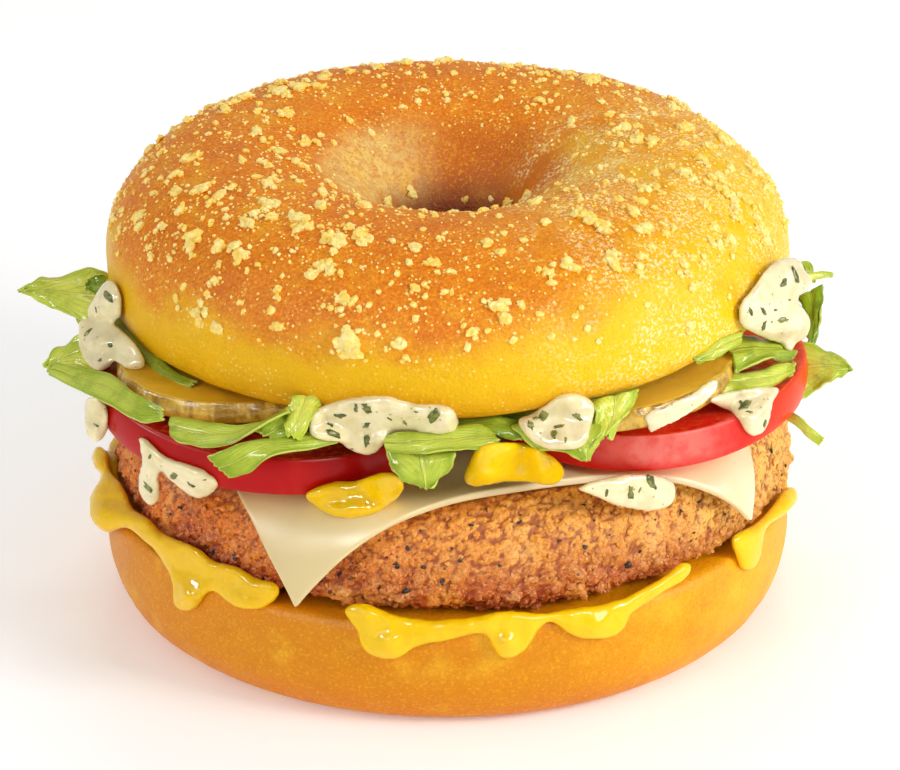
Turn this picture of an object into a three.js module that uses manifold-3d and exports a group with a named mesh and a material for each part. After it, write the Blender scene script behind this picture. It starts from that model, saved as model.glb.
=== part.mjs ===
// A veggie burger in a cut ring roll: a breaded patty, cheese, tomato, lettuce, pickle and two sauces.
// Millimetres, +Z up. The layers are stacked round the roll's own axis, and the whole burger is then
// shifted so that the origin lies on the surface it stands on, under the middle of its outer box.

import * as THREE from "three";
import { mergeVertices } from "three/addons/utils/BufferGeometryUtils.js";
import Module from "manifold-3d";

const wasm = await Module();
wasm.setup();

// Driving dimensions
const GAP = 0.38;
const COARSE_GAP = 0.7;
const LOWER_ROLL = { radius: 56.5, widest: 12.6, base: 48, baseHole: 15, hole: 9.6, cut: 19 };
const UPPER_ROLL = { radius: 55, widest: 59.4, crown: 33, top: 76.8, hole: 9, cut: 54.1, lip: 54.4 };
const PATTY = { radius: 54.4, bottom: 21.1, top: 35.6, shoulder: 9.5, foot: 2.2, crag: 0.5 };
const SAUCE_LAYER = { bottom: 19.75, top: 20.35, inner: 14, rim: 56.4 };
const CHEESE = {
  side: 90,
  thickness: 2.2,
  middle: 37.35,
  turn: 243,
  bow: 0.07,
  shoulder: 46.8,
  bend: 10.9,
  steepest: 78,
};
const TOMATO = { thickness: 6.9, bottom: 38.85, bulge: 1.5 };
const PICKLE = { thickness: 3.7, bottom: 48.2, bulge: 0.5 };
const HEAP = { radius: 49.5, hole: 10.5, bottom: 39.2, below: 1, front: 14 };
const LEAF_THICKNESS = 0.75;
const CRUMBS = 22;

const BREAD = new THREE.MeshStandardMaterial({ color: 0xe9a32b, roughness: 0.6, metalness: 0 });
const BREADING = new THREE.MeshStandardMaterial({ color: 0xc06a35, roughness: 0.85, metalness: 0 });
const MUSTARD = new THREE.MeshStandardMaterial({ color: 0xf4c400, roughness: 0.25, metalness: 0 });
const CREAM_CHEESE = new THREE.MeshStandardMaterial({ color: 0xeee0b4, roughness: 0.45, metalness: 0 });
const TOMATO_RED = new THREE.MeshStandardMaterial({ color: 0xcf2320, roughness: 0.25, metalness: 0 });
const PICKLE_GREEN = new THREE.MeshStandardMaterial({ color: 0x9a8f2a, roughness: 0.3, metalness: 0 });
const LEAF_GREEN = new THREE.MeshStandardMaterial({ color: 0x8cbf3f, roughness: 0.5, metalness: 0 });
const HERB_CREAM = new THREE.MeshStandardMaterial({ color: 0xe9e8d8, roughness: 0.25, metalness: 0 });

// Helpers

const radians = (degrees) => (degrees * Math.PI) / 180;

const clamp = (value, low, high) => Math.min(Math.max(value, low), high);

function smoothstep(low, high, value) {
  const share = clamp((value - low) / (high - low), 0, 1);
  return share * share * (3 - 2 * share);
}

// A repeatable source of numbers from 0 to 1.
function seededRandom(seed) {
  let state = seed;
  return () => {
    state = (state + 0x6d2b79f5) >>> 0;
    let mixed = Math.imul(state ^ (state >>> 15), state | 1);
    mixed ^= mixed + Math.imul(mixed ^ (mixed >>> 7), mixed | 61);
    return ((mixed ^ (mixed >>> 14)) >>> 0) / 4294967296;
  };
}

// A slow wave round the axis, from -1 to 1, so that no piece is a true circle.
function wave(angle, phase) {
  return (
    0.5 * Math.sin(2 * angle + phase) +
    0.3 * Math.sin(3 * angle + 2.1 * phase) +
    0.2 * Math.sin(5 * angle + 0.7 * phase)
  );
}

const polar = (degrees, radius, z) =>
  new THREE.Vector3(radius * Math.cos(radians(degrees)), radius * Math.sin(radians(degrees)), z);

// Only the positions are kept, with shared corners merged.
function bare(geometry) {
  const kept = geometry.clone();
  kept.deleteAttribute("normal");
  kept.deleteAttribute("uv");
  kept.clearGroups();
  return mergeVertices(kept, 1e-4);
}

// Moves every corner by a function of where it is.
function warped(geometry, move) {
  const bent = bare(geometry);
  const places = bent.getAttribute("position");
  const corner = new THREE.Vector3();
  for (let i = 0; i < places.count; i++) {
    corner.fromBufferAttribute(places, i);
    move(corner, i);
    places.setXYZ(i, corner.x, corner.y, corner.z);
  }
  return bent;
}

// The same shape, larger by a distance on every side.
function grown(geometry, distance) {
  const larger = bare(geometry);
  larger.computeVertexNormals();
  const places = larger.getAttribute("position");
  const normals = larger.getAttribute("normal");
  for (let i = 0; i < places.count; i++)
    places.setXYZ(
      i,
      places.getX(i) + normals.getX(i) * distance,
      places.getY(i) + normals.getY(i) * distance,
      places.getZ(i) + normals.getZ(i) * distance,
    );
  return larger;
}

function solidOf(geometry) {
  const closed = bare(geometry);
  const corners = closed.index.array;
  const kept = [];
  for (let i = 0; i < corners.length; i += 3) {
    const [a, b, c] = [corners[i], corners[i + 1], corners[i + 2]];
    if (a !== b && b !== c && c !== a) kept.push(a, b, c);
  }
  return new wasm.Manifold(
    new wasm.Mesh({
      numProp: 3,
      vertProperties: new Float32Array(closed.getAttribute("position").array),
      triVerts: new Uint32Array(kept),
    }),
  );
}

function geometryOf(solid) {
  const mesh = solid.getMesh();
  const geometry = new THREE.BufferGeometry();
  geometry.setAttribute("position", new THREE.BufferAttribute(new Float32Array(mesh.vertProperties), 3));
  geometry.setIndex(new THREE.BufferAttribute(new Uint32Array(mesh.triVerts), 1));
  return geometry;
}

const joined = (geometries) => geometries.map(solidOf).reduce((whole, next) => whole.add(next));

// What is left of a solid clear of its neighbours: its largest body, with loose scraps dropped.
function clearOf(solid, neighbours) {
  const rest = neighbours.reduce((left, neighbour) => left.subtract(neighbour), solid);
  return rest.decompose().reduce((largest, body) => (body.volume() > largest.volume() ? body : largest));
}

// A profile of [radius, height] points turned round the upright axis.
function turned(profile, sides) {
  const points = profile.map(([radius, z]) => new THREE.Vector2(radius, z));
  return new THREE.LatheGeometry(points, sides).rotateX(Math.PI / 2);
}

// Points of a rounded quarter from one [radius, height] to another; power 2 is an ellipse, more is squarer.
// The quarter leaves the first point level when "level" is true, and upright when it is false.
function quarter(from, to, power, steps, level) {
  const points = [];
  for (let i = 0; i <= steps; i++) {
    const angle = (i / steps) * (Math.PI / 2);
    const early = Math.pow(Math.sin(angle), 2 / power);
    const late = 1 - Math.pow(Math.cos(angle), 2 / power);
    const [alongRadius, alongHeight] = level ? [early, late] : [late, early];
    points.push([from[0] + (to[0] - from[0]) * alongRadius, from[1] + (to[1] - from[1]) * alongHeight]);
  }
  return points;
}

// A thin sheet whose two faces are split into triangles alike. pointAt(u, v) gives its middle, with u and v
// running from 0 to 1.
function sheet(columns, rows, thickness, pointAt) {
  const middle = new THREE.PlaneGeometry(1, 1, columns, rows);
  middle.deleteAttribute("uv");
  const places = middle.getAttribute("position");
  for (let i = 0; i < places.count; i++) {
    const point = pointAt(places.getX(i) + 0.5, places.getY(i) + 0.5);
    places.setXYZ(i, point.x, point.y, point.z);
  }
  middle.computeVertexNormals();
  const normals = middle.getAttribute("normal");
  const both = [];
  for (const side of [0.5, -0.5])
    for (let i = 0; i < places.count; i++)
      both.push(
        places.getX(i) + normals.getX(i) * thickness * side,
        places.getY(i) + normals.getY(i) * thickness * side,
        places.getZ(i) + normals.getZ(i) * thickness * side,
      );
  const faces = [...middle.index.array];
  for (let i = 0; i < middle.index.count; i += 3) {
    const [a, b, c] = [0, 1, 2].map((k) => middle.index.getX(i + k) + places.count);
    faces.push(a, c, b);
  }
  for (const [from, to] of sheetRim(columns, rows))
    faces.push(from, from + places.count, to, to, from + places.count, to + places.count);
  const closed = new THREE.BufferGeometry();
  closed.setAttribute("position", new THREE.Float32BufferAttribute(both, 3));
  closed.setIndex(faces);
  return closed;
}

// The edges round a sheet's grid of corners, each running the same way round.
function sheetRim(columns, rows) {
  const at = (column, row) => row * (columns + 1) + column;
  const edges = [];
  for (let i = 0; i < columns; i++) {
    edges.push([at(i + 1, 0), at(i, 0)]);
    edges.push([at(i, rows), at(i + 1, rows)]);
  }
  for (let i = 0; i < rows; i++) {
    edges.push([at(0, i), at(0, i + 1)]);
    edges.push([at(columns, i + 1), at(columns, i)]);
  }
  return edges;
}

// A soft lump of sauce at a point, turned to face outwards. Its half sizes are across, outwards and up.
function lump(centre, [across, outwards, up], sides = 7, rows = 4) {
  const facing = Math.atan2(centre.y, centre.x);
  return new THREE.SphereGeometry(1, sides, rows)
    .rotateX(Math.PI / 2)
    .scale(outwards, across, up)
    .rotateZ(facing)
    .translate(centre.x, centre.y, centre.z);
}

// Lower half of the ring roll

function lowerRoll(sides = 34, steps = 4) {
  const { radius, widest, base, baseHole, hole, cut } = LOWER_ROLL;
  const profile = [
    [baseHole, 0],
    ...quarter([base, 0], [radius, widest], 2.3, steps, true),
    ...quarter([radius, widest], [radius - 1.4, cut], 2.8, 2, false).slice(1),
    [hole + 1.2, cut],
    [hole, cut - 1.2],
    [hole, 8],
    [baseHole - 2.2, 2.2],
    [baseHole, 0],
  ];
  return warped(turned(profile, sides), (corner) => {
    const angle = Math.atan2(corner.y, corner.x);
    const swell = 1 + 0.006 * wave(angle, 0.4) * smoothstep(0, 8, corner.z);
    corner.x *= swell;
    corner.y *= swell;
  });
}

// Upper half of the ring roll

// The cut is uneven: its edge rises towards the right, most of all at the front right.
function lipRise(angle) {
  const frontRight = radians(320);
  const away = Math.atan2(Math.sin(angle - frontRight), Math.cos(angle - frontRight));
  return 0.1 + 1.9 * Math.cos(angle) + 1.5 * Math.exp(-Math.pow(away / 0.5, 2));
}

function crownProfile(steps = 6) {
  const { radius, widest, crown, top, hole, cut } = UPPER_ROLL;
  return [
    ...quarter([radius, widest], [crown, top], 2.1, steps, false),
    ...quarter([crown, top], [hole, cut + 6], 1.9, steps, true).slice(1),
  ];
}

function riseWithCut(corner) {
  const angle = Math.atan2(corner.y, corner.x);
  const share = 1 - smoothstep(UPPER_ROLL.cut, UPPER_ROLL.cut + 9, corner.z);
  const swell = 1 + 0.005 * wave(angle, 2.2);
  corner.x *= swell;
  corner.y *= swell;
  corner.z += lipRise(angle) * share;
}

function upperRoll(sides = 36, steps = 6) {
  const { radius, widest, hole, cut, lip } = UPPER_ROLL;
  const profile = [
    [hole + 1.4, cut],
    [radius - 4.2, cut],
    ...quarter([radius - 2.6, lip - 0.1], [radius, widest], 2.1, 3, true).slice(0, -1),
    ...crownProfile(steps),
    [hole, cut + 1.2],
    [hole + 1.4, cut],
  ];
  return warped(turned(profile, sides), riseWithCut);
}

// Baked cheese crumbs lie all over the crown, thickest round its outer half and round the hole.
function crumb(random, size) {
  const profile = crownProfile();
  const share = 0.12 + 0.72 * Math.pow(random(), 0.85);
  const step = share * (profile.length - 1);
  const low = Math.floor(step);
  const [r0, z0] = profile[low];
  const [r1, z1] = profile[low + 1];
  const place = new THREE.Vector2(r0, z0).lerp(new THREE.Vector2(r1, z1), step - low);
  const angle = random() * 2 * Math.PI;
  const outwards = new THREE.Vector3(z1 - z0, 0, r0 - r1).normalize();
  const half = new THREE.Vector3(size * (0.8 + 0.5 * random()), size * (0.7 + 0.4 * random()), size * 0.62);
  const turn = random() * Math.PI;
  const dents = Array.from({ length: 12 }, () => 0.78 + 0.4 * random());
  const chunk = warped(new THREE.IcosahedronGeometry(1, 0), (corner, i) => {
    corner.multiplyScalar(dents[i]).multiply(half);
  });
  chunk.rotateZ(turn);
  chunk.applyQuaternion(new THREE.Quaternion().setFromUnitVectors(new THREE.Vector3(0, 0, 1), outwards));
  chunk.translate(place.x + outwards.x * size * 0.1, 0, place.y + outwards.z * size * 0.1);
  chunk.rotateZ(angle);
  return chunk;
}

function crumbs() {
  const random = seededRandom(7);
  return Array.from({ length: CRUMBS }, (_, i) => crumb(random, 0.95 + 1.75 * Math.pow(1 - i / CRUMBS, 2.5)));
}

// Breaded patty: its whole side is rough with coarse crumbs

function patty(sides = 46, crag = PATTY.crag, swell = 0) {
  const { radius, bottom, top, shoulder, foot } = PATTY;
  const profile = [
    [0, bottom],
    [28, bottom],
    ...quarter([radius - foot, bottom], [radius, bottom + foot + 1], 2, 2, true),
    ...quarter([radius, bottom + foot + 1], [radius - shoulder, top], 2, 4, false).slice(1),
    [28, top],
    [0, top],
  ];
  const random = seededRandom(21);
  return warped(turned(profile, sides), (corner) => {
    const reach = Math.hypot(corner.x, corner.y);
    const angle = Math.atan2(corner.y, corner.x);
    const side = smoothstep(radius - shoulder - 1, radius - 2, reach);
    const out = swell + side * (0.3 * wave(angle, 1.3) + crag * (2 * random() - 1));
    corner.x *= 1 + out / Math.max(reach, 1);
    corner.y *= 1 + out / Math.max(reach, 1);
    corner.z += side * crag * 0.7 * (2 * random() - 1) * smoothstep(bottom, bottom + 2, corner.z);
  });
}

// Yellow sauce between the lower roll and the patty: a layer with a beaded rim, lobes and drips.
// Each lobe is [azimuth, height of its middle, half width, half height, how far it stands out].
const LOBES = [
  [187, 22.4, 2.4, 2.8, 2.4],
  [196, 18.4, 4.2, 5.2, 3.6],
  [207, 19.8, 7.6, 2.6, 2.4],
  [220, 19.6, 7.4, 2.8, 2.5],
  [226.5, 17.6, 3.4, 4.8, 2.8],
  [236, 19.0, 4.6, 3.6, 2.8],
  [258.5, 18.0, 4.8, 4.3, 2.8],
  [268, 19.0, 8.4, 2.3, 2.4],
  [279, 17.8, 3.2, 4.3, 2.7],
  [284, 19.0, 8.4, 2.4, 2.5],
  [295, 18.4, 4.6, 3.9, 2.9],
  [303, 20.0, 8.6, 2.4, 2.4],
  [328, 18.6, 3.3, 4.2, 2.8],
  [334, 20.4, 8.4, 2.7, 2.5],
  [347, 20.8, 4.6, 3.0, 2.4],
  [10, 18.4, 4.0, 4.2, 2.6],
  [30, 19.6, 9.0, 2.5, 2.3],
  [58, 18.0, 4.2, 4.4, 2.7],
  [106, 17.8, 3.8, 4.6, 2.7],
  [132, 19.2, 8.6, 2.9, 2.4],
  [158, 18.2, 4.2, 4.4, 2.7],
];

function sauceLayer(sides = 24) {
  const { bottom, top, inner, rim } = SAUCE_LAYER;
  return turned(
    [
      [inner, bottom],
      [rim, bottom],
      [rim + 0.7, (bottom + top) / 2],
      [rim, top],
      [inner, top],
      [inner, bottom],
    ],
    sides,
  );
}

// The lobes hug the roll and the patty, so they are hollowed by a plain body that holds both.
function yellowSauce() {
  const { radius, widest, cut } = LOWER_ROLL;
  const waist = turned(
    [
      [0, 2],
      [radius + 1.5, 2],
      [radius + 1.5, widest],
      [radius + 0.1, cut + 0.4],
      [radius + 0.1, PATTY.top - 3],
      [0, PATTY.top - 3],
    ],
    24,
  );
  const lobes = LOBES.map(([azimuth, z, across, up, outwards]) =>
    lump(polar(azimuth, radius - 0.2, z), [across, outwards, up]),
  );
  return joined(lobes).subtract(solidOf(waist)).add(solidOf(sauceLayer()));
}

// Square cheese slice: flat on the patty, with its four corners hanging down the side

function cheese(cells = 12) {
  const { side, thickness, middle, turn, bow, shoulder, bend, steepest } = CHEESE;
  const offset = polar(turn + 45, 4.2, 0).add(polar(turn - 45, 3.2, 0));
  const most = radians(steepest);
  return sheet(cells, cells, thickness, (u, v) => {
    const [a, b] = [Math.abs(2 * u - 1), Math.abs(2 * v - 1)];
    const outer = Math.max(a, b, 1e-6);
    const inwards = 1 - bow * outer * outer * (1 - Math.pow(Math.min(a, b) / outer, 2));
    const flat = new THREE.Vector3(side * (u - 0.5), side * (v - 0.5), 0)
      .multiplyScalar(inwards)
      .applyAxisAngle(new THREE.Vector3(0, 0, 1), radians(turn - 45))
      .add(offset);
    const reach = Math.max(Math.hypot(flat.x, flat.y), 1e-6);
    const past = Math.max(0, reach - shoulder);
    const angle = Math.min(past / bend, most);
    const straight = Math.max(0, past - bend * most);
    const out = Math.min(reach, shoulder) + bend * Math.sin(angle) + straight * Math.cos(most);
    const z = middle - bend * (1 - Math.cos(angle)) - straight * Math.sin(most);
    return new THREE.Vector3((flat.x / reach) * out, (flat.y / reach) * out, z);
  });
}

// Two dabs of the yellow sauce squeezed out onto the cheese
const DABS = {
  left: { centre: [-15.2, -48.6, 38.6], half: [8.4, 5.6, 2.5] },
  right: { centre: [10.6, -44.6, 40.6], half: [8.2, 4.6, 3.0] },
};

const dab = ({ centre, half }) => lump(new THREE.Vector3(...centre), half, 10, 6);

// Two tomato slices, which rise towards their outer ends
const TOMATOES = {
  left: { centre: [-26.6, -20.6], radius: 29.6, lift: 1.6, phase: 0.6 },
  right: { centre: [30.9, -17.4], radius: 26.4, lift: 3.6, phase: 2.9 },
};

// How far a slice has risen at a distance x to the side.
const tomatoRise = (lift, x) => lift * Math.pow(Math.max(0, Math.abs(x) - 10) / 46, 2);

function tomato({ centre, radius, lift, phase }, sides = 30) {
  const { thickness, bottom, bulge } = TOMATO;
  const skin = [0.12, 0.5, 0.88].map((share) => [
    radius - bulge * Math.pow(2 * share - 1, 2),
    bottom + thickness * share,
  ]);
  const profile = [
    [0, bottom],
    [radius - bulge - 0.9, bottom],
    ...skin,
    [radius - bulge - 0.9, bottom + thickness],
    [0, bottom + thickness],
  ];
  return warped(turned(profile, sides), (corner) => {
    const swell = 1 + 0.02 * wave(Math.atan2(corner.y, corner.x), phase);
    corner.x = corner.x * swell + centre[0];
    corner.y = corner.y * swell + centre[1];
    corner.z += tomatoRise(lift, corner.x);
  });
}

// Two pickle slices, close under the upper roll. Tilt is the rise of the outer end in degrees.
const PICKLES = {
  left: { centre: [-33.2, -24.8], radius: 18.7, tilt: 0, lift: 0.3, phase: 1.1 },
  right: { centre: [27.2, -27.2], radius: 18.6, tilt: 5, lift: 0.7, phase: 3.4 },
};

function pickle({ centre, radius, tilt, lift, phase }, sides = 28) {
  const { thickness, bottom, bulge } = PICKLE;
  const profile = [
    [0, 0],
    [radius - 0.5, 0],
    [radius + bulge * 0.5, thickness / 2],
    [radius - 0.5, thickness],
    [0, thickness],
  ];
  return warped(turned(profile, sides), (corner) => {
    const swell = 1 + 0.025 * wave(Math.atan2(corner.y, corner.x), phase);
    corner.multiply(new THREE.Vector3(swell, swell, 1));
  })
    .rotateY(-radians(tilt))
    .translate(centre[0], centre[1], bottom + lift);
}

// Herb sauce: each blob is a few lumps, [x, y, z, half across, half outwards, half up]
const HERB_BLOBS = {
  herb_sauce_left_top: [
    [-56.0, -10.0, 53.0, 4.4, 3.2, 3.8],
    [-53.8, -17.8, 50.0, 5.6, 5.2, 5.2],
  ],
  herb_sauce_left_drop: [[-56.4, -9.5, 33.0, 2.4, 2.2, 3.8]],
  herb_sauce_left_patty: [
    [-48.0, -30.2, 32.4, 2.6, 2.4, 4.8],
    [-44.4, -35.0, 35.6, 5.0, 2.6, 2.8],
    [-40.0, -39.4, 35.2, 3.8, 2.4, 2.9],
  ],
  herb_sauce_front_left: [
    [-18.0, -50.6, 52.0, 4.2, 3.4, 3.2],
    [-12.0, -52.4, 50.8, 4.4, 3.4, 3.8],
    [-5.0, -53.4, 52.4, 5.2, 3.4, 2.8],
    [0.8, -53.8, 52.8, 3.2, 2.8, 2.4],
  ],
  herb_sauce_front_right: [
    [17.5, -51.6, 51.6, 5.4, 3.4, 3.6],
    [14.6, -51.4, 49.2, 3.8, 2.8, 2.6],
    [21.2, -50.0, 53.2, 3.2, 2.8, 2.6],
  ],
  herb_sauce_cheese: [
    [23.2, -50.2, 39.0, 4.0, 2.4, 2.4],
    [28.2, -48.0, 38.0, 4.6, 2.6, 2.8],
    [33.8, -44.6, 38.0, 3.4, 2.4, 2.6],
  ],
  herb_sauce_tomato: [
    [44.9, -31.6, 49.0, 4.6, 4.0, 2.2],
    [48.0, -36.6, 45.6, 3.2, 3.0, 4.6],
  ],
  herb_sauce_right_top: [
    [55.4, -2.5, 53.2, 4.8, 3.6, 3.6],
    [53.0, -11.5, 50.6, 5.6, 4.8, 4.8],
  ],
  herb_sauce_back_left: [
    [-33.0, 42.6, 51.2, 4.6, 3.4, 3.4],
    [-38.6, 38.4, 49.6, 3.4, 3.0, 3.8],
  ],
  herb_sauce_back_right: [
    [25.0, 47.6, 51.6, 5.0, 3.4, 3.2],
    [31.0, 44.4, 50.4, 3.6, 3.0, 3.6],
  ],
};

const blob = (lumps) => lumps.map(([x, y, z, ...half]) => lump(new THREE.Vector3(x, y, z), half));

// Lettuce: a heap between the tomato and the upper roll, with the leaves that show fused on.
// Each leaf runs from a point in the heap to its tip. Arch is how far its middle lies above the straight line,
// twist turns it about its own length in degrees, and blunt is the share of its width left at the tip.
const LEAVES = [
  { from: [-46, 3, 50.2], to: [-69, -2, 51.6], width: 9.5, arch: 1.0, twist: -38, blunt: 0.12 },
  { from: [-42, 0, 49.6], to: [-62.6, -19.6, 46.0], width: 14, arch: 1.4, twist: -32, blunt: 0.45 },
  { from: [-38, -28, 47.4], to: [-56, -35, 44.4], width: 12, arch: 1.8, twist: -20, blunt: 0.5 },
  { from: [-33, -34, 47.2], to: [-45.5, -44.5, 44.6], width: 15, arch: 1.3, twist: -8, blunt: 0.6 },
  { from: [-25, -38, 47.3], to: [-31, -54.5, 44.6], width: 17, arch: 1.6, twist: 6, blunt: 0.6 },
  { from: [-16, -42, 48.6], to: [-34.5, -53.5, 43.6], width: 9, arch: 2.2, twist: 30, blunt: 0.75 },
  { from: [-21, -42, 52.0], to: [-23.8, -51, 49.2], width: 5.5, arch: 0.6, twist: 10, blunt: 0.7 },
  { from: [-5, -42, 49.4], to: [-3.8, -56.8, 43.0], width: 10.5, arch: 2.2, twist: -6, blunt: 0.65 },
  { from: [-1, -40, 50.2], to: [2.4, -56, 48.0], width: 18, arch: 0.8, twist: 0, blunt: 0.6 },
  { from: [9, -40, 51.2], to: [10, -54, 50.2], width: 12, arch: 0.4, twist: -4, blunt: 0.5 },
  { from: [19, -38, 51.0], to: [22.5, -54, 45.4], width: 15, arch: 2.0, twist: -10, blunt: 0.25 },
  { from: [26, -38, 52.6], to: [32.6, -48.4, 52.2], width: 9, arch: 0.6, twist: -14, blunt: 0.2 },
  { from: [35, -28, 54.6], to: [43.4, -37, 56.0], width: 6.5, arch: 0.4, twist: -10, blunt: 0.2 },
  { from: [39, -13, 50.4], to: [54, -26, 49.8], width: 13, arch: 0.8, twist: 24, blunt: 0.5 },
  { from: [46, 10, 48.6], to: [63.6, -18.0, 46.4], width: 12, arch: 1.2, twist: 28, blunt: 0.1 },
  { from: [46, 4, 49.0], to: [60.5, -1, 50.4], width: 12, arch: 0.6, twist: 62, blunt: 0.75 },
  { from: [48, 6, 54.0], to: [62.5, 1, 54.2], width: 2.6, arch: 0.6, twist: 20, blunt: 0.4 },
  { from: [46, -16, 46.6], to: [60.8, -27.4, 40.6], width: 2.6, arch: 0.8, twist: 10, blunt: 0.5 },
];

const BACK_LEAVES = 9;

// The side of the heap that the photograph doesn't show has the same kind of leaves, one every few degrees.
function backLeaves() {
  const random = seededRandom(33);
  return Array.from({ length: BACK_LEAVES }, (_, i) => {
    const azimuth = 14 + (i * 156) / (BACK_LEAVES - 1);
    const high = i % 2;
    const root = 42 + 7 * high + 2 * random();
    return {
      from: polar(azimuth, 40, root).toArray(),
      to: polar(azimuth + 10 * (random() - 0.5), 56 + 6 * random(), root - 1 - 4 * random()).toArray(),
      width: 11 + 6 * random(),
      arch: 0.8 + 1.4 * random(),
      twist: 50 * (random() - 0.5),
      blunt: 0.2 + 0.5 * random(),
    };
  });
}

function leaf({ from, to, width, arch, twist, blunt }, seed) {
  const random = seededRandom(seed);
  const start = new THREE.Vector3(...from);
  const along = new THREE.Vector3(...to).sub(start);
  const across = new THREE.Vector3()
    .crossVectors(new THREE.Vector3(0, 0, 1), along)
    .normalize()
    .applyAxisAngle(along.clone().normalize(), radians(twist));
  const upright = new THREE.Vector3().crossVectors(along, across).normalize();
  const phase = 6.28 * random();
  const narrow = width < 4;
  return sheet(narrow ? 3 : 4, narrow ? 1 : 2, LEAF_THICKNESS, (u, v) => {
    const edge = 2 * v - 1;
    const belly = 0.6 + 0.4 * Math.sin(Math.PI * Math.min(1, 1.25 * u));
    const outline = belly * (1 - (1 - blunt) * Math.pow(u, 4));
    const ragged = 1 + 0.14 * (random() - 0.5) * Math.abs(edge);
    const ruffle = narrow ? 0 : 0.9 * edge * edge * Math.sin(7 * u + phase + 2 * edge);
    return start
      .clone()
      .addScaledVector(along, u * (1 + 0.08 * (random() - 0.5)))
      .addScaledVector(across, 0.5 * width * outline * ragged * edge)
      .addScaledVector(upright, 4 * arch * u * (1 - u) + ruffle);
  });
}

const leaves = () => [...LEAVES, ...backLeaves()].map((shape, i) => leaf(shape, 100 + i));

// The heap fills the back down to the cheese, and lies on the tomato slices at the front.
function heapCore(sides = 18) {
  const { radius, hole, bottom, below, front } = HEAP;
  const top = UPPER_ROLL.cut - below;
  const profile = [
    [hole, bottom],
    [24, bottom],
    [36, bottom],
    [radius - 4, bottom],
    [radius, (bottom + top) / 2],
    [radius, top - 3],
    [radius - 3, top],
    [hole, top],
    [hole, bottom],
  ];
  const random = seededRandom(11);
  return warped(turned(profile, sides), (corner) => {
    const reach = Math.hypot(corner.x, corner.y);
    const depth = (top - corner.z) / (top - bottom);
    const lift = corner.x < 0 ? TOMATOES.left.lift : TOMATOES.right.lift;
    const onTomato = TOMATO.bottom + TOMATO.thickness + COARSE_GAP + tomatoRise(lift, corner.x);
    const lowest = corner.y < front ? onTomato : bottom;
    const highest = top + lipRise(Math.atan2(corner.y, corner.x));
    const out = smoothstep(radius - 6, radius - 1, reach) * 2.4 * (random() - 0.5);
    corner.x *= 1 + out / reach;
    corner.y *= 1 + out / reach;
    corner.z = highest + (lowest - highest) * depth;
  });
}

// Each piece is cut clear of slightly enlarged, plainer copies of the pieces that it lies against.

const roomFor = (geometry) => solidOf(grown(geometry, COARSE_GAP));

const room = {
  lowerRoll: roomFor(lowerRoll(24, 1)),
  upperRoll: roomFor(upperRoll(24, 1)),
  patty: roomFor(patty(26, 0, PATTY.crag)),
  cheese: solidOf(grown(cheese(), GAP)),
  tomatoes: Object.values(TOMATOES).map((slice) => roomFor(tomato(slice, 18))),
  pickles: Object.values(PICKLES).map((slice) => roomFor(pickle(slice, 18))),
  dabs: Object.values(DABS).map((shape) => solidOf(grown(dab(shape), GAP))),
  blobs: Object.values(HERB_BLOBS).map((lumps) => joined(blob(lumps).map((one) => grown(one, GAP)))),
};

const burger = new THREE.Group();

function add(name, solid, material) {
  const mesh = new THREE.Mesh(geometryOf(solid), material);
  mesh.name = name;
  burger.add(mesh);
}

add("bagel_bottom", solidOf(lowerRoll()), BREAD);

add("yellow_sauce", clearOf(yellowSauce(), [room.cheese]), MUSTARD);

add("patty", solidOf(patty()), BREADING);

add("cheese_slice", solidOf(cheese()), CREAM_CHEESE);

for (const [side, shape] of Object.entries(DABS))
  add(
    `yellow_dab_${side}`,
    clearOf(solidOf(dab(shape)), [room.patty, room.cheese, ...room.tomatoes]),
    MUSTARD,
  );

for (const [side, slice] of Object.entries(TOMATOES))
  add(`tomato_${side}`, solidOf(tomato(slice)), TOMATO_RED);

for (const [side, slice] of Object.entries(PICKLES))
  add(`pickle_${side}`, solidOf(pickle(slice)), PICKLE_GREEN);

const solidFood = [room.upperRoll, room.patty, room.cheese, ...room.tomatoes, ...room.pickles];

for (const [name, lumps] of Object.entries(HERB_BLOBS))
  add(name, clearOf(joined(blob(lumps)), [...solidFood, ...room.dabs, room.lowerRoll]), HERB_CREAM);

add(
  "lettuce",
  clearOf(joined([heapCore(), ...leaves()]), [...solidFood, ...room.dabs, ...room.blobs]),
  LEAF_GREEN,
);

add("bagel_top", joined([upperRoll(), ...crumbs()]), BREAD);

const box = new THREE.Box3().setFromObject(burger);
const middle = box.getCenter(new THREE.Vector3());
burger.position.set(-middle.x, -middle.y, -box.min.z);

export default burger;
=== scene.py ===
"""A veggie burger in a cut ring roll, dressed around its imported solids.

Pieces are shaped in millimetres round the upright axis of the roll, and are put in place in metres at the end.
Where a piece shows in the photograph, its points are given by pixel and by how far they lie from that axis.
"""

import math
import random

import bmesh
import bpy
from mathutils import Matrix, Vector, noise
from mathutils.bvhtree import BVHTree


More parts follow.
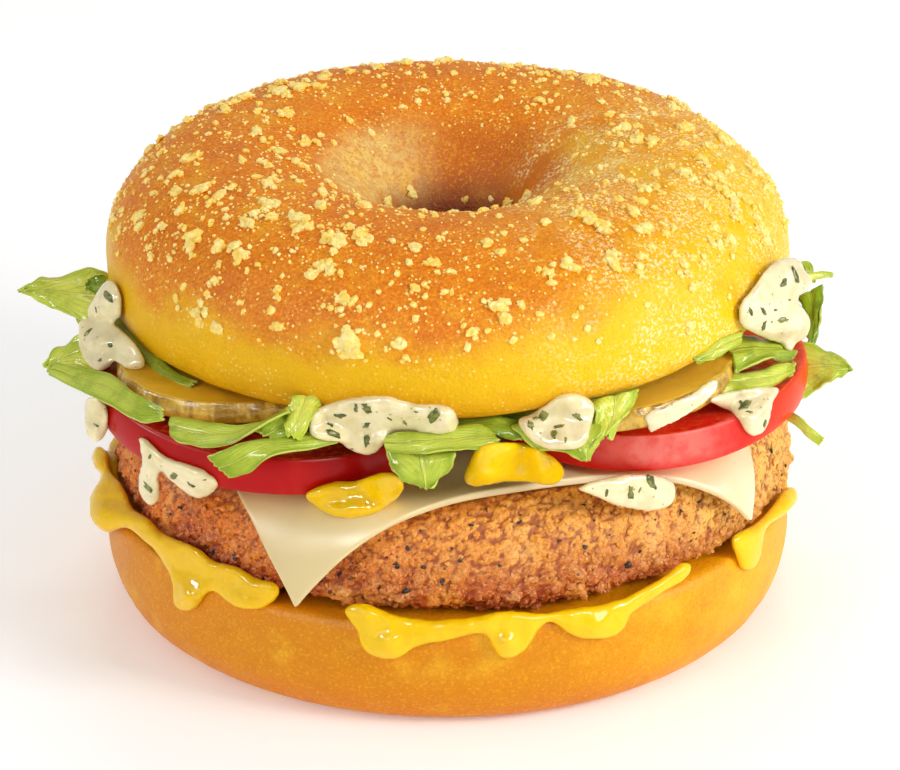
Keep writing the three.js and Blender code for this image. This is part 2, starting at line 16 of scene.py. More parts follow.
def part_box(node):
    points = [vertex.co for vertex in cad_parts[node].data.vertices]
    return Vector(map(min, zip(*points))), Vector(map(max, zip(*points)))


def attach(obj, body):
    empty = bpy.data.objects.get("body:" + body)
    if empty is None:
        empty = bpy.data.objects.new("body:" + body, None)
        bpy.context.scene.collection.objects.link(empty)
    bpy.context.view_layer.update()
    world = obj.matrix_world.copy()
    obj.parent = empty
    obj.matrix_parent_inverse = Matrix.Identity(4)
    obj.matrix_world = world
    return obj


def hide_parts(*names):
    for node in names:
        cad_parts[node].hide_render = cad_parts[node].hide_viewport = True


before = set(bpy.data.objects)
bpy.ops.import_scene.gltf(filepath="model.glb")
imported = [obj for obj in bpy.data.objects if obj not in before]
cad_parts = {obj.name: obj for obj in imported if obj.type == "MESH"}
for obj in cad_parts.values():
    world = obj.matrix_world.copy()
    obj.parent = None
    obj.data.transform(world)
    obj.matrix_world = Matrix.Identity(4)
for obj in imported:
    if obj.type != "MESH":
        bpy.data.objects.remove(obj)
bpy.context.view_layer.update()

MM = 0.001
roll_low, roll_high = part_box("bagel_bottom")
AXIS = Vector(((roll_low.x + roll_high.x) / 2, (roll_low.y + roll_high.y) / 2, 0))

# Sizes in millimetres, the same as in the part's own source
LOWER_ROLL = dict(radius=56.5, widest=12.6, base=48, base_hole=15, hole=9.6, cut=19)
UPPER_ROLL = dict(radius=55, widest=59.0, crown=33, top=76.6, hole=9, cut=53.0, lip=53.2)
PATTY = dict(radius=54.2, bottom=19.6, top=35.6, shoulder=9.5, foot=2.2)
CHEESE = dict(side=90, thickness=1.3, middle=37.35, turn=243, bow=0.07, shoulder=46.8, bend=10.9, steepest=78)
TOMATO_BULGE = 0.45
TOMATOES = {
    "left": dict(centre=(-26.6, -20.6), radius=29.6, lift=4.2, bottom=38.1, thickness=6.1, phase=0.6),
    "right": dict(centre=(30.9, -17.4), radius=26.4, lift=3.6, bottom=39.0, thickness=6.1, phase=2.9),
}
PICKLE = dict(thickness=3.5, bottom=48.2)
PICKLES = {
    "left": dict(centre=(-33.2, -24.8), radius=18.7, tilt=0, lift=-0.6, phase=1.1),
    "right": dict(centre=(27.2, -27.2), radius=18.6, tilt=7, lift=-0.4, phase=3.4),
}

# The photograph's camera, in the roll's own frame
CAMERA_TILT = math.radians(25)
CAMERA_DISTANCE = 700
FOCAL_PIXELS = 4256
AIM_HEIGHT = 34.2
AXIS_COLUMN = 447.5
PICTURE = (900, 770)
SENSOR = 36

BACK = Vector((0, -math.cos(CAMERA_TILT), math.sin(CAMERA_TILT)))
RIGHT = Vector((1, 0, 0))
UP = BACK.cross(RIGHT)
EYE = Vector((0, 0, AIM_HEIGHT)) + BACK * CAMERA_DISTANCE


def clamp(value, low=0.0, high=1.0):
    return min(max(value, low), high)


def smoothstep(low, high, value):
    share = clamp((value - low) / (high - low))
    return share * share * (3 - 2 * share)


def wave(angle, phase):
    return (
        0.5 * math.sin(2 * angle + phase)
        + 0.3 * math.sin(3 * angle + 2.1 * phase)
        + 0.2 * math.sin(5 * angle + 0.7 * phase)
    )


# Points by pixel


def sight(column, row):
    """The direction from the camera through a pixel of the photograph."""
    across = (column - AXIS_COLUMN) / FOCAL_PIXELS
    down = (row - PICTURE[1] / 2) / FOCAL_PIXELS
    return (RIGHT * across - UP * down - BACK).normalized()


def at_depth(column, row, y):
    """The point behind a pixel on the upright plane at that y."""
    direction = sight(column, row)
    return EYE + direction * ((y - EYE.y) / direction.y)


def around(azimuth, radius, z):
    angle = math.radians(azimuth)
    return Vector((radius * math.cos(angle), radius * math.sin(angle), z))


# Meshes


def finished(name, bm, materials, replaced=(), smooth=True):
    """Makes an object of a bmesh in millimetres round the roll's axis, in its place in metres."""
    for vert in bm.verts:
        vert.co = vert.co * MM + AXIS
    for face in bm.faces:
        face.smooth = smooth
    mesh = bpy.data.meshes.new(name)
    bm.to_mesh(mesh)
    bm.free()
    for material in materials:
        mesh.materials.append(material)
    piece = bpy.data.objects.new(name, mesh)
    bpy.context.scene.collection.objects.link(piece)
    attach(piece, "root")
    if replaced:
        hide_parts(*replaced)
    return piece


def quarter(start, end, power, steps, level):
    """Points of a rounded quarter between two [radius, height] points, leaving the first level or upright."""
    points = []
    for i in range(steps + 1):
        angle = i / steps * math.pi / 2
        early = math.sin(angle) ** (2 / power)
        late = 1 - max(math.cos(angle), 0) ** (2 / power)
        along_radius, along_height = (early, late) if level else (late, early)
        points.append(
            (
                start[0] + (end[0] - start[0]) * along_radius,
                start[1] + (end[1] - start[1]) * along_height,
            )
        )
    return points


def evened(profile, spacing):
    """A profile's line with points added or dropped so that they lie about evenly."""
    points = [Vector((r, z)) for r, z in profile]
    even = [points[0]]
    carried = 0.0
    for start, end in zip(points, points[1:]):
        length = (end - start).length
        while length > 1e-9 and carried + length >= spacing:
            step = spacing - carried
            start = start + (end - start) * (step / length)
            length -= step
            carried = 0.0
            even.append(start.copy())
        carried += length
    if (points[-1] - even[-1]).length > spacing * 0.3:
        even.append(points[-1])
    return [(p.x, p.y) for p in even]


def spun(profile, sides, closed=True):
    """A ring or disc: a profile of [radius, height] points turned round the upright axis."""
    bm = bmesh.new()
    verts = [bm.verts.new((r, 0, z)) for r, z in profile]
    edges = [bm.edges.new(pair) for pair in zip(verts, verts[1:])]
    if closed:
        edges.append(bm.edges.new((verts[-1], verts[0])))
    bmesh.ops.spin(
        bm,
        geom=verts + edges,
        cent=(0, 0, 0),
        axis=(0, 0, 1),
        angle=2 * math.pi,
        steps=sides,
        use_merge=True,
    )
    bmesh.ops.remove_doubles(bm, verts=bm.verts, dist=0.001)
    bmesh.ops.recalc_face_normals(bm, faces=bm.faces)
    return bm


def pushed(bm, amount):
    """Moves each point along its normal by a number of millimetres that depends on where it is."""
    bm.normal_update()
    moves = [(vert, vert.normal * amount(vert.co)) for vert in bm.verts]
    for vert, move in moves:
        vert.co += move
    bm.normal_update()


def grain(place, size, seed=0.0):
    """Soft noise from about -1 to 1, with lumps of that size in millimetres."""
    return noise.noise(place / size + Vector((seed, seed * 1.7, seed * 0.6)))


def pebbles(place, size, seed=0.0):
    """Crumbs packed together: 0 in the cracks between them, up to about 1, each with its own height."""
    cell = place / size + Vector((seed, 0, seed))
    cell += 0.35 * noise.noise_vector(cell * 1.7)
    distances, centres = noise.voronoi(cell)
    own = 0.5 + 0.5 * noise.noise(centres[0] * 5.3)
    return smoothstep(0, 0.5, distances[1] - distances[0]) * (0.4 + 0.8 * own)


def melted(bm, voxel, rounds):
    """Turns rough overlapping bodies into one smooth one, as thick sauce runs together."""
    mesh = bpy.data.meshes.new("draft")
    bm.to_mesh(mesh)
    bm.free()
    draft = bpy.data.objects.new("draft", mesh)
    bpy.context.scene.collection.objects.link(draft)
    remesh = draft.modifiers.new("one body", "REMESH")
    remesh.mode = "VOXEL"
    remesh.voxel_size = voxel
    soften = draft.modifiers.new("soften", "SMOOTH")
    soften.factor = 0.5
    soften.iterations = rounds
    shaped = draft.evaluated_get(bpy.context.evaluated_depsgraph_get())
    bm = bmesh.new()
    bm.from_mesh(shaped.to_mesh())
    bpy.data.objects.remove(draft)
    return bm


def rounded_outline(outline, steps=4):
    """The smooth closed curve through an outline's points."""
    count = len(outline)
    points = [Vector(point) for point in outline]
    curve = []
    for i in range(count):
        around_it = [points[(i + k) % count] for k in (-1, 0, 1, 2)]
        curve += [through_four(*around_it, step / steps) for step in range(steps)]
    return curve


def through_four(before, start, end, after, t):
    return 0.5 * (
        2 * start
        + (end - before) * t
        + (2 * before - 5 * start + 4 * end - after) * t * t
        + (3 * start - before - 3 * end + after) * t**3
    )


def depth_inside(point, curve):
    """How far inside a closed curve a point lies, or less than 0 outside it."""
    inside = False
    nearest = 1e9
    for i, start in enumerate(curve):
        end = curve[(i + 1) % len(curve)]
        if (start.y > point.y) != (end.y > point.y):
            if point.x < (end.x - start.x) * (point.y - start.y) / (end.y - start.y) + start.x:
                inside = not inside
        along = end - start
        share = clamp((point - start).dot(along) / max(along.length_squared, 1e-9))
        nearest = min(nearest, (start + along * share - point).length_squared)
    return math.sqrt(nearest) if inside else -math.sqrt(nearest)


PIXELS_PER_MM = 6.2
POUR_STEP = 1.7
STEEPEST = 0.34
NEIGHBOURS = [(1, 0), (-1, 0), (0, 1), (0, -1)]


def meets_round(start, along, reach):
    """How far along a line it meets the upright cylinder of one radius, or None."""
    a = along.x**2 + along.y**2
    b = start.x * along.x + start.y * along.y
    c = start.x**2 + start.y**2 - reach**2
    inner = b * b - a * c
    return (-b - math.sqrt(inner)) / a if inner > 0 else None


def from_camera(column, row):
    """Where the sight line of a pixel starts, and its direction."""
    return EYE, sight(column, row)


def from_outside(column, row):
    """The same for the sides that the photo doesn't show: column runs around the axis and row runs down."""
    azimuth = math.degrees(column / PIXELS_PER_MM / SAUCE_RADIUS)
    start = around(azimuth, 2 * SAUCE_RADIUS, -row / PIXELS_PER_MM)
    return start, -around(azimuth, 1, 0)


def add_pour(bm, food, outline, thick, reach, swells=(), rim=10.0, sunk=1.0, line=from_camera, deepest=60.0):
    """Lays sauce inside an outline of pixels over the food behind it, no nearer to the axis than reach.

    It follows the food no farther behind its own nearest point than deepest, in mm."""
    curve = rounded_outline(outline)
    left = min(point.x for point in curve)
    top = min(point.y for point in curve)
    wide = int((max(point.x for point in curve) - left) / POUR_STEP) + 2
    tall = int((max(point.y for point in curve) - top) / POUR_STEP) + 2
    inside, base, ray = {}, {}, {}
    for i in range(-1, wide + 1):
        for j in range(-1, tall + 1):
            spot = Vector((left + i * POUR_STEP, top + j * POUR_STEP))
            deep = depth_inside(spot, curve)
            if deep < 0:
                continue
            inside[i, j] = deep
            start, along = ray[i, j] = line(spot.x, spot.y)
            hit = food.ray_cast(start, along)[0]
            wall = meets_round(start, along, reach)
            if hit is not None and math.hypot(hit.x, hit.y) > reach:
                base[i, j] = (hit - start).length
            elif wall is not None:
                base[i, j] = wall
    base = filled(base, inside)
    farthest = min(base.values()) + deepest
    base = {key: min(value, farthest) for key, value in base.items()}
    for _ in range(3):
        base = {key: min([value, *beside(base, key)]) for key, value in base.items()}
    for _ in range(14):
        base = {key: mean([value, *beside(base, key)]) for key, value in base.items()}
    face = dict(base)
    for _ in range(40):
        face = {key: min([value, *(near + STEEPEST for near in beside(face, key))]) for key, value in face.items()}
    front, back = {}, {}
    for key, deep in inside.items():
        share = clamp(deep / rim)
        height = thick * math.sqrt(1 - (1 - share) ** 2)
        column, row = left + key[0] * POUR_STEP, top + key[1] * POUR_STEP
        for x, y, radius, extra in swells:
            near = clamp(1 - math.hypot(column - x, row - y) / radius)
            height += extra * near * near * (3 - 2 * near) * share
        height *= 1 + 0.22 * noise.noise(Vector((column / 13, row / 13, 4.4)))
        start, along = ray[key]
        front[key] = bm.verts.new(start + along * (face[key] - height))
        back[key] = bm.verts.new(start + along * (base[key] + sunk))
    rims = {}
    for i, j in inside:
        corners = [(i, j), (i + 1, j), (i + 1, j + 1), (i, j + 1)]
        if any(corner not in inside for corner in corners):
            continue
        bm.faces.new([front[corner] for corner in corners])
        bm.faces.new([back[corner] for corner in reversed(corners)])
        for a, b in zip(corners, corners[1:] + corners[:1]):
            if (b, a) in rims:
                del rims[b, a]
            else:
                rims[a, b] = True
    for a, b in rims:
        bm.faces.new([front[b], front[a], back[a], back[b]])
    loose = [vert for vert in bm.verts if not vert.link_faces]
    bmesh.ops.delete(bm, geom=loose, context="VERTS")


def beside(values, key):
    """The values of a cell's four neighbours, as far as they have one."""
    return [values[key[0] + a, key[1] + b] for a, b in NEIGHBOURS if (key[0] + a, key[1] + b) in values]


def mean(values):
    return sum(values) / len(values)


def filled(values, keys):
    """Gives every key a value, the missing ones that of their neighbours, from the known ones outwards."""
    missing = [key for key in keys if key not in values]
    while missing:
        found = {key: mean(beside(values, key)) for key in missing if beside(values, key)}
        if not found:
            break
        values.update(found)
        missing = [key for key in missing if key not in values]
    return values


def ball(detail):
    """The points and faces of a ball of few faces, from which crumbs are made."""
    bm = bmesh.new()
    bmesh.ops.create_icosphere(bm, subdivisions=detail, radius=1)
    points = [vert.co.copy() for vert in bm.verts]
    faces = [[vert.index for vert in face.verts] for face in bm.faces]
    bm.free()
    return points, faces


BALLS = {detail: ball(detail) for detail in (1, 2)}


def chunk(bm, random_, place, outwards, size, flat=0.7, detail=1, jag=0.35, narrow=0.85):
    """One crumb: a ball of few faces, dented at random, standing on a surface."""
    turn = outwards.to_track_quat("Z", "X").to_matrix()
    spin = Matrix.Rotation(random_.uniform(0, 2 * math.pi), 3, "Z")
    half = (size * random_.uniform(0.8, 1.25), size * narrow * random_.uniform(0.82, 1.18), size * flat)
    matrix = turn @ spin @ Matrix.Diagonal(half)
    seed = Vector((random_.uniform(0, 90), 0, 0))
    points, faces = BALLS[detail]
    verts = []
    for point in points:
        dent = 1 + jag * noise.noise(point * 1.6 + seed) + jag * random_.uniform(-0.35, 0.35)
        verts.append(bm.verts.new(place + matrix @ (point * dent)))
    for face in faces:
        bm.faces.new([verts[i] for i in face])


def tree_of(*shapes):
    """A search tree of one or more shapes, for finding where a line meets them."""
    points, faces = [], []
    for bm in shapes:
        start = len(points)
        bm.verts.index_update()
        points += [vert.co.copy() for vert in bm.verts]
        faces += [[vert.index + start for vert in face.verts] for face in bm.faces]
    return BVHTree.FromPolygons(points, faces)


def landed(tree, column, row):
    """Where a pixel's line of sight meets a piece, and the way that its surface faces there."""
    place, normal, _, _ = tree.ray_cast(EYE, sight(column, row))
    return place, normal


# Materials


def linear(red, green, blue):
    """A colour given in screen values from 0 to 255."""
    return (
        *(((c / 255 + 0.055) / 1.055) ** 2.4 if c > 10 else c / 255 / 12.92 for c in (red, green, blue)),
        1,
    )


class Nodes:
    """A small hand for wiring shader nodes."""

    def __init__(self, tree):
        self.tree = tree

    def add(self, kind, inputs=None, **settings):
        node = self.tree.nodes.new(kind)
        for key, value in settings.items():
            setattr(node, key, value)
        for key, value in (inputs or {}).items():
            self.set(node.inputs[key], value)
        return node

    def set(self, socket, value):
        if isinstance(value, bpy.types.NodeSocket):
            self.tree.links.new(value, socket)
        else:
            socket.default_value = value

    def math(self, operation, *values, clamped=False):
        node = self.add("ShaderNodeMath", operation=operation, use_clamp=clamped)
        for socket, value in zip(node.inputs, values):
            self.set(socket, value)
        return node.outputs[0]

    def step(self, value, low, high, to_low=0.0, to_high=1.0):
        node = self.add(
            "ShaderNodeMapRange",
            {"Value": value, "From Min": low, "From Max": high, "To Min": to_low, "To Max": to_high},
            interpolation_type="SMOOTHSTEP",
        )
        return node.outputs["Result"]

    def mix(self, share, first, second, blend="MIX"):
        node = self.add("ShaderNodeMix", data_type="RGBA", blend_type=blend, clamp_factor=True)
        self.set(node.inputs[0], share)
        self.set(node.inputs[6], first)
        self.set(node.inputs[7], second)
        return node.outputs[2]

    def noise(self, place, size_mm, detail=3.0, rough=0.55, squash=None):
        vector = place
        if squash:
            vector = self.add("ShaderNodeVectorMath", operation="MULTIPLY")
            self.set(vector.inputs[0], place)
            vector.inputs[1].default_value = squash
            vector = vector.outputs[0]
        node = self.add(
            "ShaderNodeTexNoise",
            {"Vector": vector, "Scale": 1 / (size_mm * MM), "Detail": detail, "Roughness": rough},
        )
        return node.outputs["Fac"]

    def cells(self, place, size_mm, feature="F1"):
        node = self.add(
            "ShaderNodeTexVoronoi", {"Vector": place, "Scale": 1 / (size_mm * MM)}, feature=feature
        )
        return node


def shader_group(name, inputs, outputs):
    """A shader node group with named sockets. Returns the group, its wiring hand and its two end nodes."""
    group = bpy.data.node_groups.new(name, "ShaderNodeTree")
    for title, kind, value in inputs:
        socket = group.interface.new_socket(title, in_out="INPUT", socket_type=kind)
        if value is not None:
            socket.default_value = value
    for title, kind in outputs:
        group.interface.new_socket(title, in_out="OUTPUT", socket_type=kind)
    start = group.nodes.new("NodeGroupInput")
    end = group.nodes.new("NodeGroupOutput")
    return group, Nodes(group), start, end


FLOAT = "NodeSocketFloat"
COLOUR = "NodeSocketColor"
VECTOR = "NodeSocketVector"


def make_mottle():
    """Varies a colour in soft patches and in fine grain, for baked and fried food."""
    group, hand, start, end = shader_group(
        "Mottle",
        [
            ("Place", VECTOR, None),
            ("Colour", COLOUR, None),
            ("Dark", COLOUR, None),
            ("Light", COLOUR, None),
            ("Patch", FLOAT, 0.5),
            ("Grain", FLOAT, 0.5),
        ],
        [("Colour", COLOUR), ("Grain", FLOAT)],
    )
    place = start.outputs["Place"]
    patches = hand.noise(place, 9.0, 3)
    fine = hand.noise(place, 0.5, 3, 0.65)
    dark = hand.math("MULTIPLY", hand.step(patches, 0.52, 0.72), start.outputs["Patch"])
    light = hand.math("MULTIPLY", hand.step(patches, 0.48, 0.3), start.outputs["Patch"])
    base = hand.mix(dark, start.outputs["Colour"], start.outputs["Dark"])
    base = hand.mix(light, base, start.outputs["Light"])
    dark_grain = hand.math("MULTIPLY", hand.step(fine, 0.5, 0.66), start.outputs["Grain"])
    light_grain = hand.math("MULTIPLY", hand.step(fine, 0.47, 0.34), start.outputs["Grain"])
    base = hand.mix(dark_grain, base, start.outputs["Dark"])
    base = hand.mix(light_grain, base, start.outputs["Light"])
    hand.set(end.inputs["Colour"], base)
    hand.set(end.inputs["Grain"], fine)
    return group


def make_relief():
    """A bump height of two sizes of soft lumps."""
    group, hand, start, end = shader_group(
        "Fine relief",
        [("Place", VECTOR, None), ("Fine", FLOAT, 0.5), ("Coarse", FLOAT, 0.5)],
        [("Height", FLOAT)],
    )
    place = start.outputs["Place"]
    fine = hand.math("MULTIPLY", hand.noise(place, 0.55, 3, 0.6), start.outputs["Fine"])
    coarse = hand.math("MULTIPLY", hand.noise(place, 2.4, 2), start.outputs["Coarse"])
    hand.set(end.inputs["Height"], hand.math("ADD", fine, coarse))
    return group


MOTTLE = make_mottle()
RELIEF = make_relief()


def new_material(name):
    material = bpy.data.materials.new(name)
    material.use_nodes = True
    tree = material.node_tree
    tree.nodes.clear()
    hand = Nodes(tree)
    shader = hand.add("ShaderNodeBsdfPrincipled")
    out = hand.add("ShaderNodeOutputMaterial")
    tree.links.new(shader.outputs[0], out.inputs[0])
    centred = hand.add("ShaderNodeMapping", {"Location": -AXIS})
    place = hand.add("ShaderNodeTexCoord").outputs["Object"]
    hand.set(centred.inputs["Vector"], place)
    return material, hand, shader, centred.outputs[0]


def soften(shader, roughness, subsurface=0.0, depth_mm=1.0, tint=(1, 0.5, 0.25), coat=0.0, coat_rough=0.1):
    shader.inputs["Roughness"].default_value = roughness
    shader.inputs["Subsurface Weight"].default_value = subsurface
    shader.inputs["Subsurface Radius"].default_value = tint
    shader.inputs["Subsurface Scale"].default_value = depth_mm * MM
    shader.inputs["Coat Weight"].default_value = coat
    shader.inputs["Coat Roughness"].default_value = coat_rough


def bumped(hand, shader, place, fine, coarse, strength=0.5, distance_mm=0.25):
    relief = hand.add("ShaderNodeGroup", node_tree=RELIEF)
    hand.set(relief.inputs["Place"], place)
    relief.inputs["Fine"].default_value = fine
    relief.inputs["Coarse"].default_value = coarse
    bump = hand.add(
        "ShaderNodeBump",
        {"Height": relief.outputs["Height"], "Strength": strength, "Distance": distance_mm * MM},
    )
    hand.set(shader.inputs["Normal"], bump.outputs["Normal"])


def wavy(hand, shader, place, size_mm, distance_mm):
    """Gentle waves as thick sauce keeps, which break its highlights up."""
    height = hand.noise(place, size_mm, 3, 0.45)
    bump = hand.add("ShaderNodeBump", {"Height": height, "Strength": 0.6, "Distance": distance_mm * MM})
    hand.set(shader.inputs["Normal"], bump.outputs["Normal"])


def mottled(hand, place, colour, dark, light, patch, fine):
    node = hand.add("ShaderNodeGroup", node_tree=MOTTLE)
    for key, value in {
        "Place": place,
        "Colour": colour,
        "Dark": dark,
        "Light": light,
        "Patch": patch,
        "Grain": fine,
    }.items():
        hand.set(node.inputs[key], value)
    return node


CRUST_GOLD = linear(238, 184, 2)
# Painted light: the lighter yellow side colour where the key light falls.
CRUST_YELLOW = linear(252, 204, 6)
CRUST_ORANGE = linear(232, 124, 3)
CRUST_BROWN = linear(196, 76, 2)
CRUST_PALE = linear(255, 196, 36)
# Painted light in streaks: the hole wall that faces the key light.
HOLE_PALE = linear(240, 206, 124)
# Painted shade deep in the hole.
HOLE_DEEP = linear(128, 44, 10)


def compass(hand, place):
    """Distance from the axis, and two shares that say how far a point lies to the right and to the front."""
    parts = hand.add("ShaderNodeSeparateXYZ", {"Vector": place})
    x, y, z = parts.outputs
    reach = hand.math("SQRT", hand.math("ADD", hand.math("MULTIPLY", x, x), hand.math("MULTIPLY", y, y)))
    right = hand.math("DIVIDE", x, reach)
    front = hand.math("DIVIDE", hand.math("MULTIPLY", y, -1.0), reach)
    return x, y, z, reach, right, front


def make_crust_top():
    material, hand, shader, place = new_material("baked crust, upper half")
    x, y, z, reach, right, front = compass(hand, place)
    # Painted light: where the key light falls (lit), the side is painted from gold to a lighter yellow and the orange
    # baked top is drawn back.
    lit = hand.math("ADD", hand.math("MULTIPLY", right, 0.8), hand.math("MULTIPLY", front, 0.24))
    side = hand.mix(hand.step(lit, 0.1, 0.75), CRUST_GOLD, CRUST_YELLOW)
    shaded = hand.math("MULTIPLY", hand.step(front, 0.6, 1.0), hand.step(z, 0.060, 0.052))
    side = hand.mix(hand.math("MULTIPLY", shaded, 0.9), side, linear(216, 144, 2))
    edge = hand.math("MULTIPLY", hand.math("SUBTRACT", hand.noise(place, 12, 3), 0.5), 0.014)
    height = hand.math("ADD", z, edge)
    height = hand.math("SUBTRACT", height, hand.math("MULTIPLY", hand.step(lit, 0.1, 1.0), 0.012))
    baked = hand.step(height, 0.0600, 0.0680)
    baked = hand.math("MULTIPLY", baked, hand.step(lit, 0.2, 0.9, 0.92, 0.66))
    crown = hand.mix(baked, side, CRUST_ORANGE)
    # Inside the hole the wall that faces the key light is painted paler in streaks (painted light), the far wall darker
    # orange, and the deep part dark brown (painted shade).
    inside = hand.step(reach, 0.0235, 0.0165)
    streaks = hand.noise(place, 1.6, 2, 0.5, squash=(1, 1, 0.12))
    pale = hand.math("MULTIPLY", hand.step(right, 0.1, -0.8), hand.step(streaks, 0.35, 0.6, 0.55, 1.0))
    wall = hand.mix(pale, linear(208, 112, 14), HOLE_PALE)
    wall = hand.mix(hand.step(z, 0.0690, 0.0600), wall, HOLE_DEEP)
    base = hand.mix(inside, crown, wall)
    dark = hand.mix(baked, linear(214, 150, 4), CRUST_BROWN)
    fine = hand.math("ADD", 0.2, hand.math("MULTIPLY", baked, 0.34))
    mottle = mottled(hand, place, base, dark, CRUST_PALE, 0.34, fine)
    specks = hand.cells(place, 0.8)
    speck = hand.step(specks.outputs["Distance"], 0.36, 0.2)
    some = hand.step(hand.noise(place, 4.0, 3, 0.6), 0.48, 0.64)
    bright = hand.math("MULTIPLY", speck, hand.math("MULTIPLY", some, 0.8))
    bright = hand.math("MULTIPLY", bright, hand.step(reach, 0.012, 0.022))
    base = hand.mix(bright, mottle.outputs["Colour"], linear(255, 216, 96))
    # Painted glints: whitish specks on the lit side, low on the crown, where the key light catches the fine bumps.
    sugar = hand.step(hand.noise(place, 0.55, 2, 0.6), 0.5, 0.6)
    where = hand.math("MULTIPLY", hand.step(lit, 0.35, 0.7), hand.step(hand.noise(place, 7.0, 3), 0.38, 0.56))
    where = hand.math("MULTIPLY", where, hand.step(z, 0.0535, 0.0595))
    sugar = hand.math("MULTIPLY", hand.math("MULTIPLY", sugar, where), 0.75)
    base = hand.mix(sugar, base, linear(255, 240, 176))
    hand.set(shader.inputs["Base Color"], base)
    soften(shader, 0.38, 0.08, 0.8, (1, 0.5, 0.08))
    shader.inputs["Specular IOR Level"].default_value = 0.14
    bumped(hand, shader, place, 0.9, 0.6, 0.85, 0.4)
    return material


def make_crust_bottom():
    material, hand, shader, place = new_material("baked crust, lower half")
    x, y, z, reach, right, front = compass(hand, place)
    lit = hand.math("SUBTRACT", right, hand.math("MULTIPLY", front, 0.1))
    side = hand.mix(hand.step(lit, 0.1, 0.9), linear(220, 138, 2), linear(250, 178, 4))
    edge = hand.math("MULTIPLY", hand.math("SUBTRACT", hand.noise(place, 14, 3), 0.5), 0.008)
    low = hand.step(hand.math("ADD", z, edge), 0.0085, 0.0015)
    base = hand.mix(hand.math("MULTIPLY", low, 0.6), side, linear(218, 120, 2))
    pale = hand.math("MULTIPLY", hand.step(hand.noise(place, 16, 2), 0.55, 0.7), 0.5)
    pale = hand.math("MULTIPLY", pale, hand.step(z, 0.008, 0.015))
    base = hand.mix(pale, base, linear(255, 214, 50))
    mottle = mottled(hand, place, base, linear(204, 116, 2), linear(255, 206, 40), 0.3, 0.3)
    hand.set(shader.inputs["Base Color"], mottle.outputs["Colour"])
    soften(shader, 0.42, 0.08, 0.8, (1, 0.5, 0.08))
    shader.inputs["Specular IOR Level"].default_value = 0.2
    bumped(hand, shader, place, 0.8, 0.6, 0.7, 0.3)
    return material


def make_crumb():
    material, hand, shader, place = new_material("baked cheese crumbs")
    tint = hand.noise(place, 2.2, 2)
    base = hand.mix(hand.step(tint, 0.38, 0.6), linear(255, 234, 138), linear(255, 214, 72))
    mottle = mottled(hand, place, base, linear(244, 186, 56), linear(255, 246, 190), 0.25, 0.5)
    hand.set(shader.inputs["Base Color"], mottle.outputs["Colour"])
    soften(shader, 0.55, 0.15, 0.8, (1, 0.7, 0.2))
    bumped(hand, shader, place, 0.6, 0.2, 0.5, 0.2)
    return material


def make_breading():
    """The lift attribute holds how far a point stands out of the coat, from 0 in a crevice to 1 on a crumb; the colour
    paints shade into crevices and light onto crumbs.
    """
    material, hand, shader, place = new_material("fried breading")
    x, y, z, reach, right, front = compass(hand, place)
    lift = hand.add("ShaderNodeAttribute", attribute_name="lift").outputs["Fac"]
    # Painted light: the coat goes lighter and more golden towards the right, where the key light falls.
    side = hand.mix(hand.step(right, -0.9, 0.8), linear(240, 132, 18), linear(250, 180, 66))
    side = hand.mix(hand.step(right, 0.55, 0.95), side, linear(255, 204, 96))
    # Darker red towards the bottom of the side, less so on the right where the key light falls: fry colour together
    # with painted shade.
    low = hand.step(z, 0.033, 0.0215)
    reddish = hand.math("MULTIPLY", low, hand.step(hand.noise(place, 8, 3), 0.3, 0.52))
    reddish = hand.math("MULTIPLY", reddish, hand.step(right, 0.95, 0.5, 0.35, 0.9))
    base = hand.mix(reddish, side, linear(172, 56, 12))
    mottle = mottled(hand, place, base, linear(180, 70, 8), linear(255, 196, 108), 0.45, 0.55)
    # Painted shade in the crevices of the coat (low lift) and painted light on the crumbs that stand out (high lift).
    base = hand.mix(hand.step(lift, 0.28, 0.04, 0.0, 0.8), mottle.outputs["Colour"], linear(146, 48, 8))
    base = hand.mix(hand.math("MULTIPLY", hand.step(lift, 0.5, 0.95), 0.45), base, linear(255, 208, 132))
    flecks = hand.cells(place, 2.6)
    fleck = hand.step(flecks.outputs["Distance"], 0.12, 0.08)
    base = hand.mix(hand.math("MULTIPLY", fleck, 0.75), base, linear(66, 40, 14))
    hand.set(shader.inputs["Base Color"], base)
    soften(shader, 0.5, 0.12, 0.8, (1, 0.45, 0.1))
    shader.inputs["Specular IOR Level"].default_value = 0.3
    bumped(hand, shader, place, 1.0, 0.4, 0.8, 0.35)
    return material


def make_yellow_sauce():
    material, hand, shader, place = new_material("yellow sauce")
    x, y, z, reach, right, front = compass(hand, place)
    # Painted light: a little lighter towards the right, where the key light falls.
    base = hand.mix(hand.step(right, -0.9, 0.6), linear(244, 196, 0), linear(252, 208, 0))
    soft = hand.noise(place, 5, 2)
    base = hand.mix(hand.math("MULTIPLY", hand.step(soft, 0.5, 0.75), 0.3), base, linear(236, 176, 0))
    hand.set(shader.inputs["Base Color"], base)
    soften(shader, 0.3, 0.1, 0.6, (1, 0.7, 0.02), coat=0.6, coat_rough=0.06)
    shader.inputs["Specular IOR Level"].default_value = 0.04
    wavy(hand, shader, place, 3.0, 1.2)
    return material


def make_cheese():
    material, hand, shader, place = new_material("cheese slice")
    x, y, z, reach, right, front = compass(hand, place)
    # Painted light: lighter towards the right, where the key light falls.
    base = hand.mix(hand.step(right, -0.6, 0.8), linear(222, 202, 146), linear(250, 234, 190))
    cloud = hand.noise(place, 14, 2)
    base = hand.mix(hand.math("MULTIPLY", hand.step(cloud, 0.45, 0.7), 0.3), base, linear(222, 192, 120))
    hand.set(shader.inputs["Base Color"], base)
    soften(shader, 0.36, 0.3, 2.0, (1, 0.85, 0.5), coat=0.1, coat_rough=0.3)
    bumped(hand, shader, place, 0.12, 0.6, 0.15, 0.3)
    return material


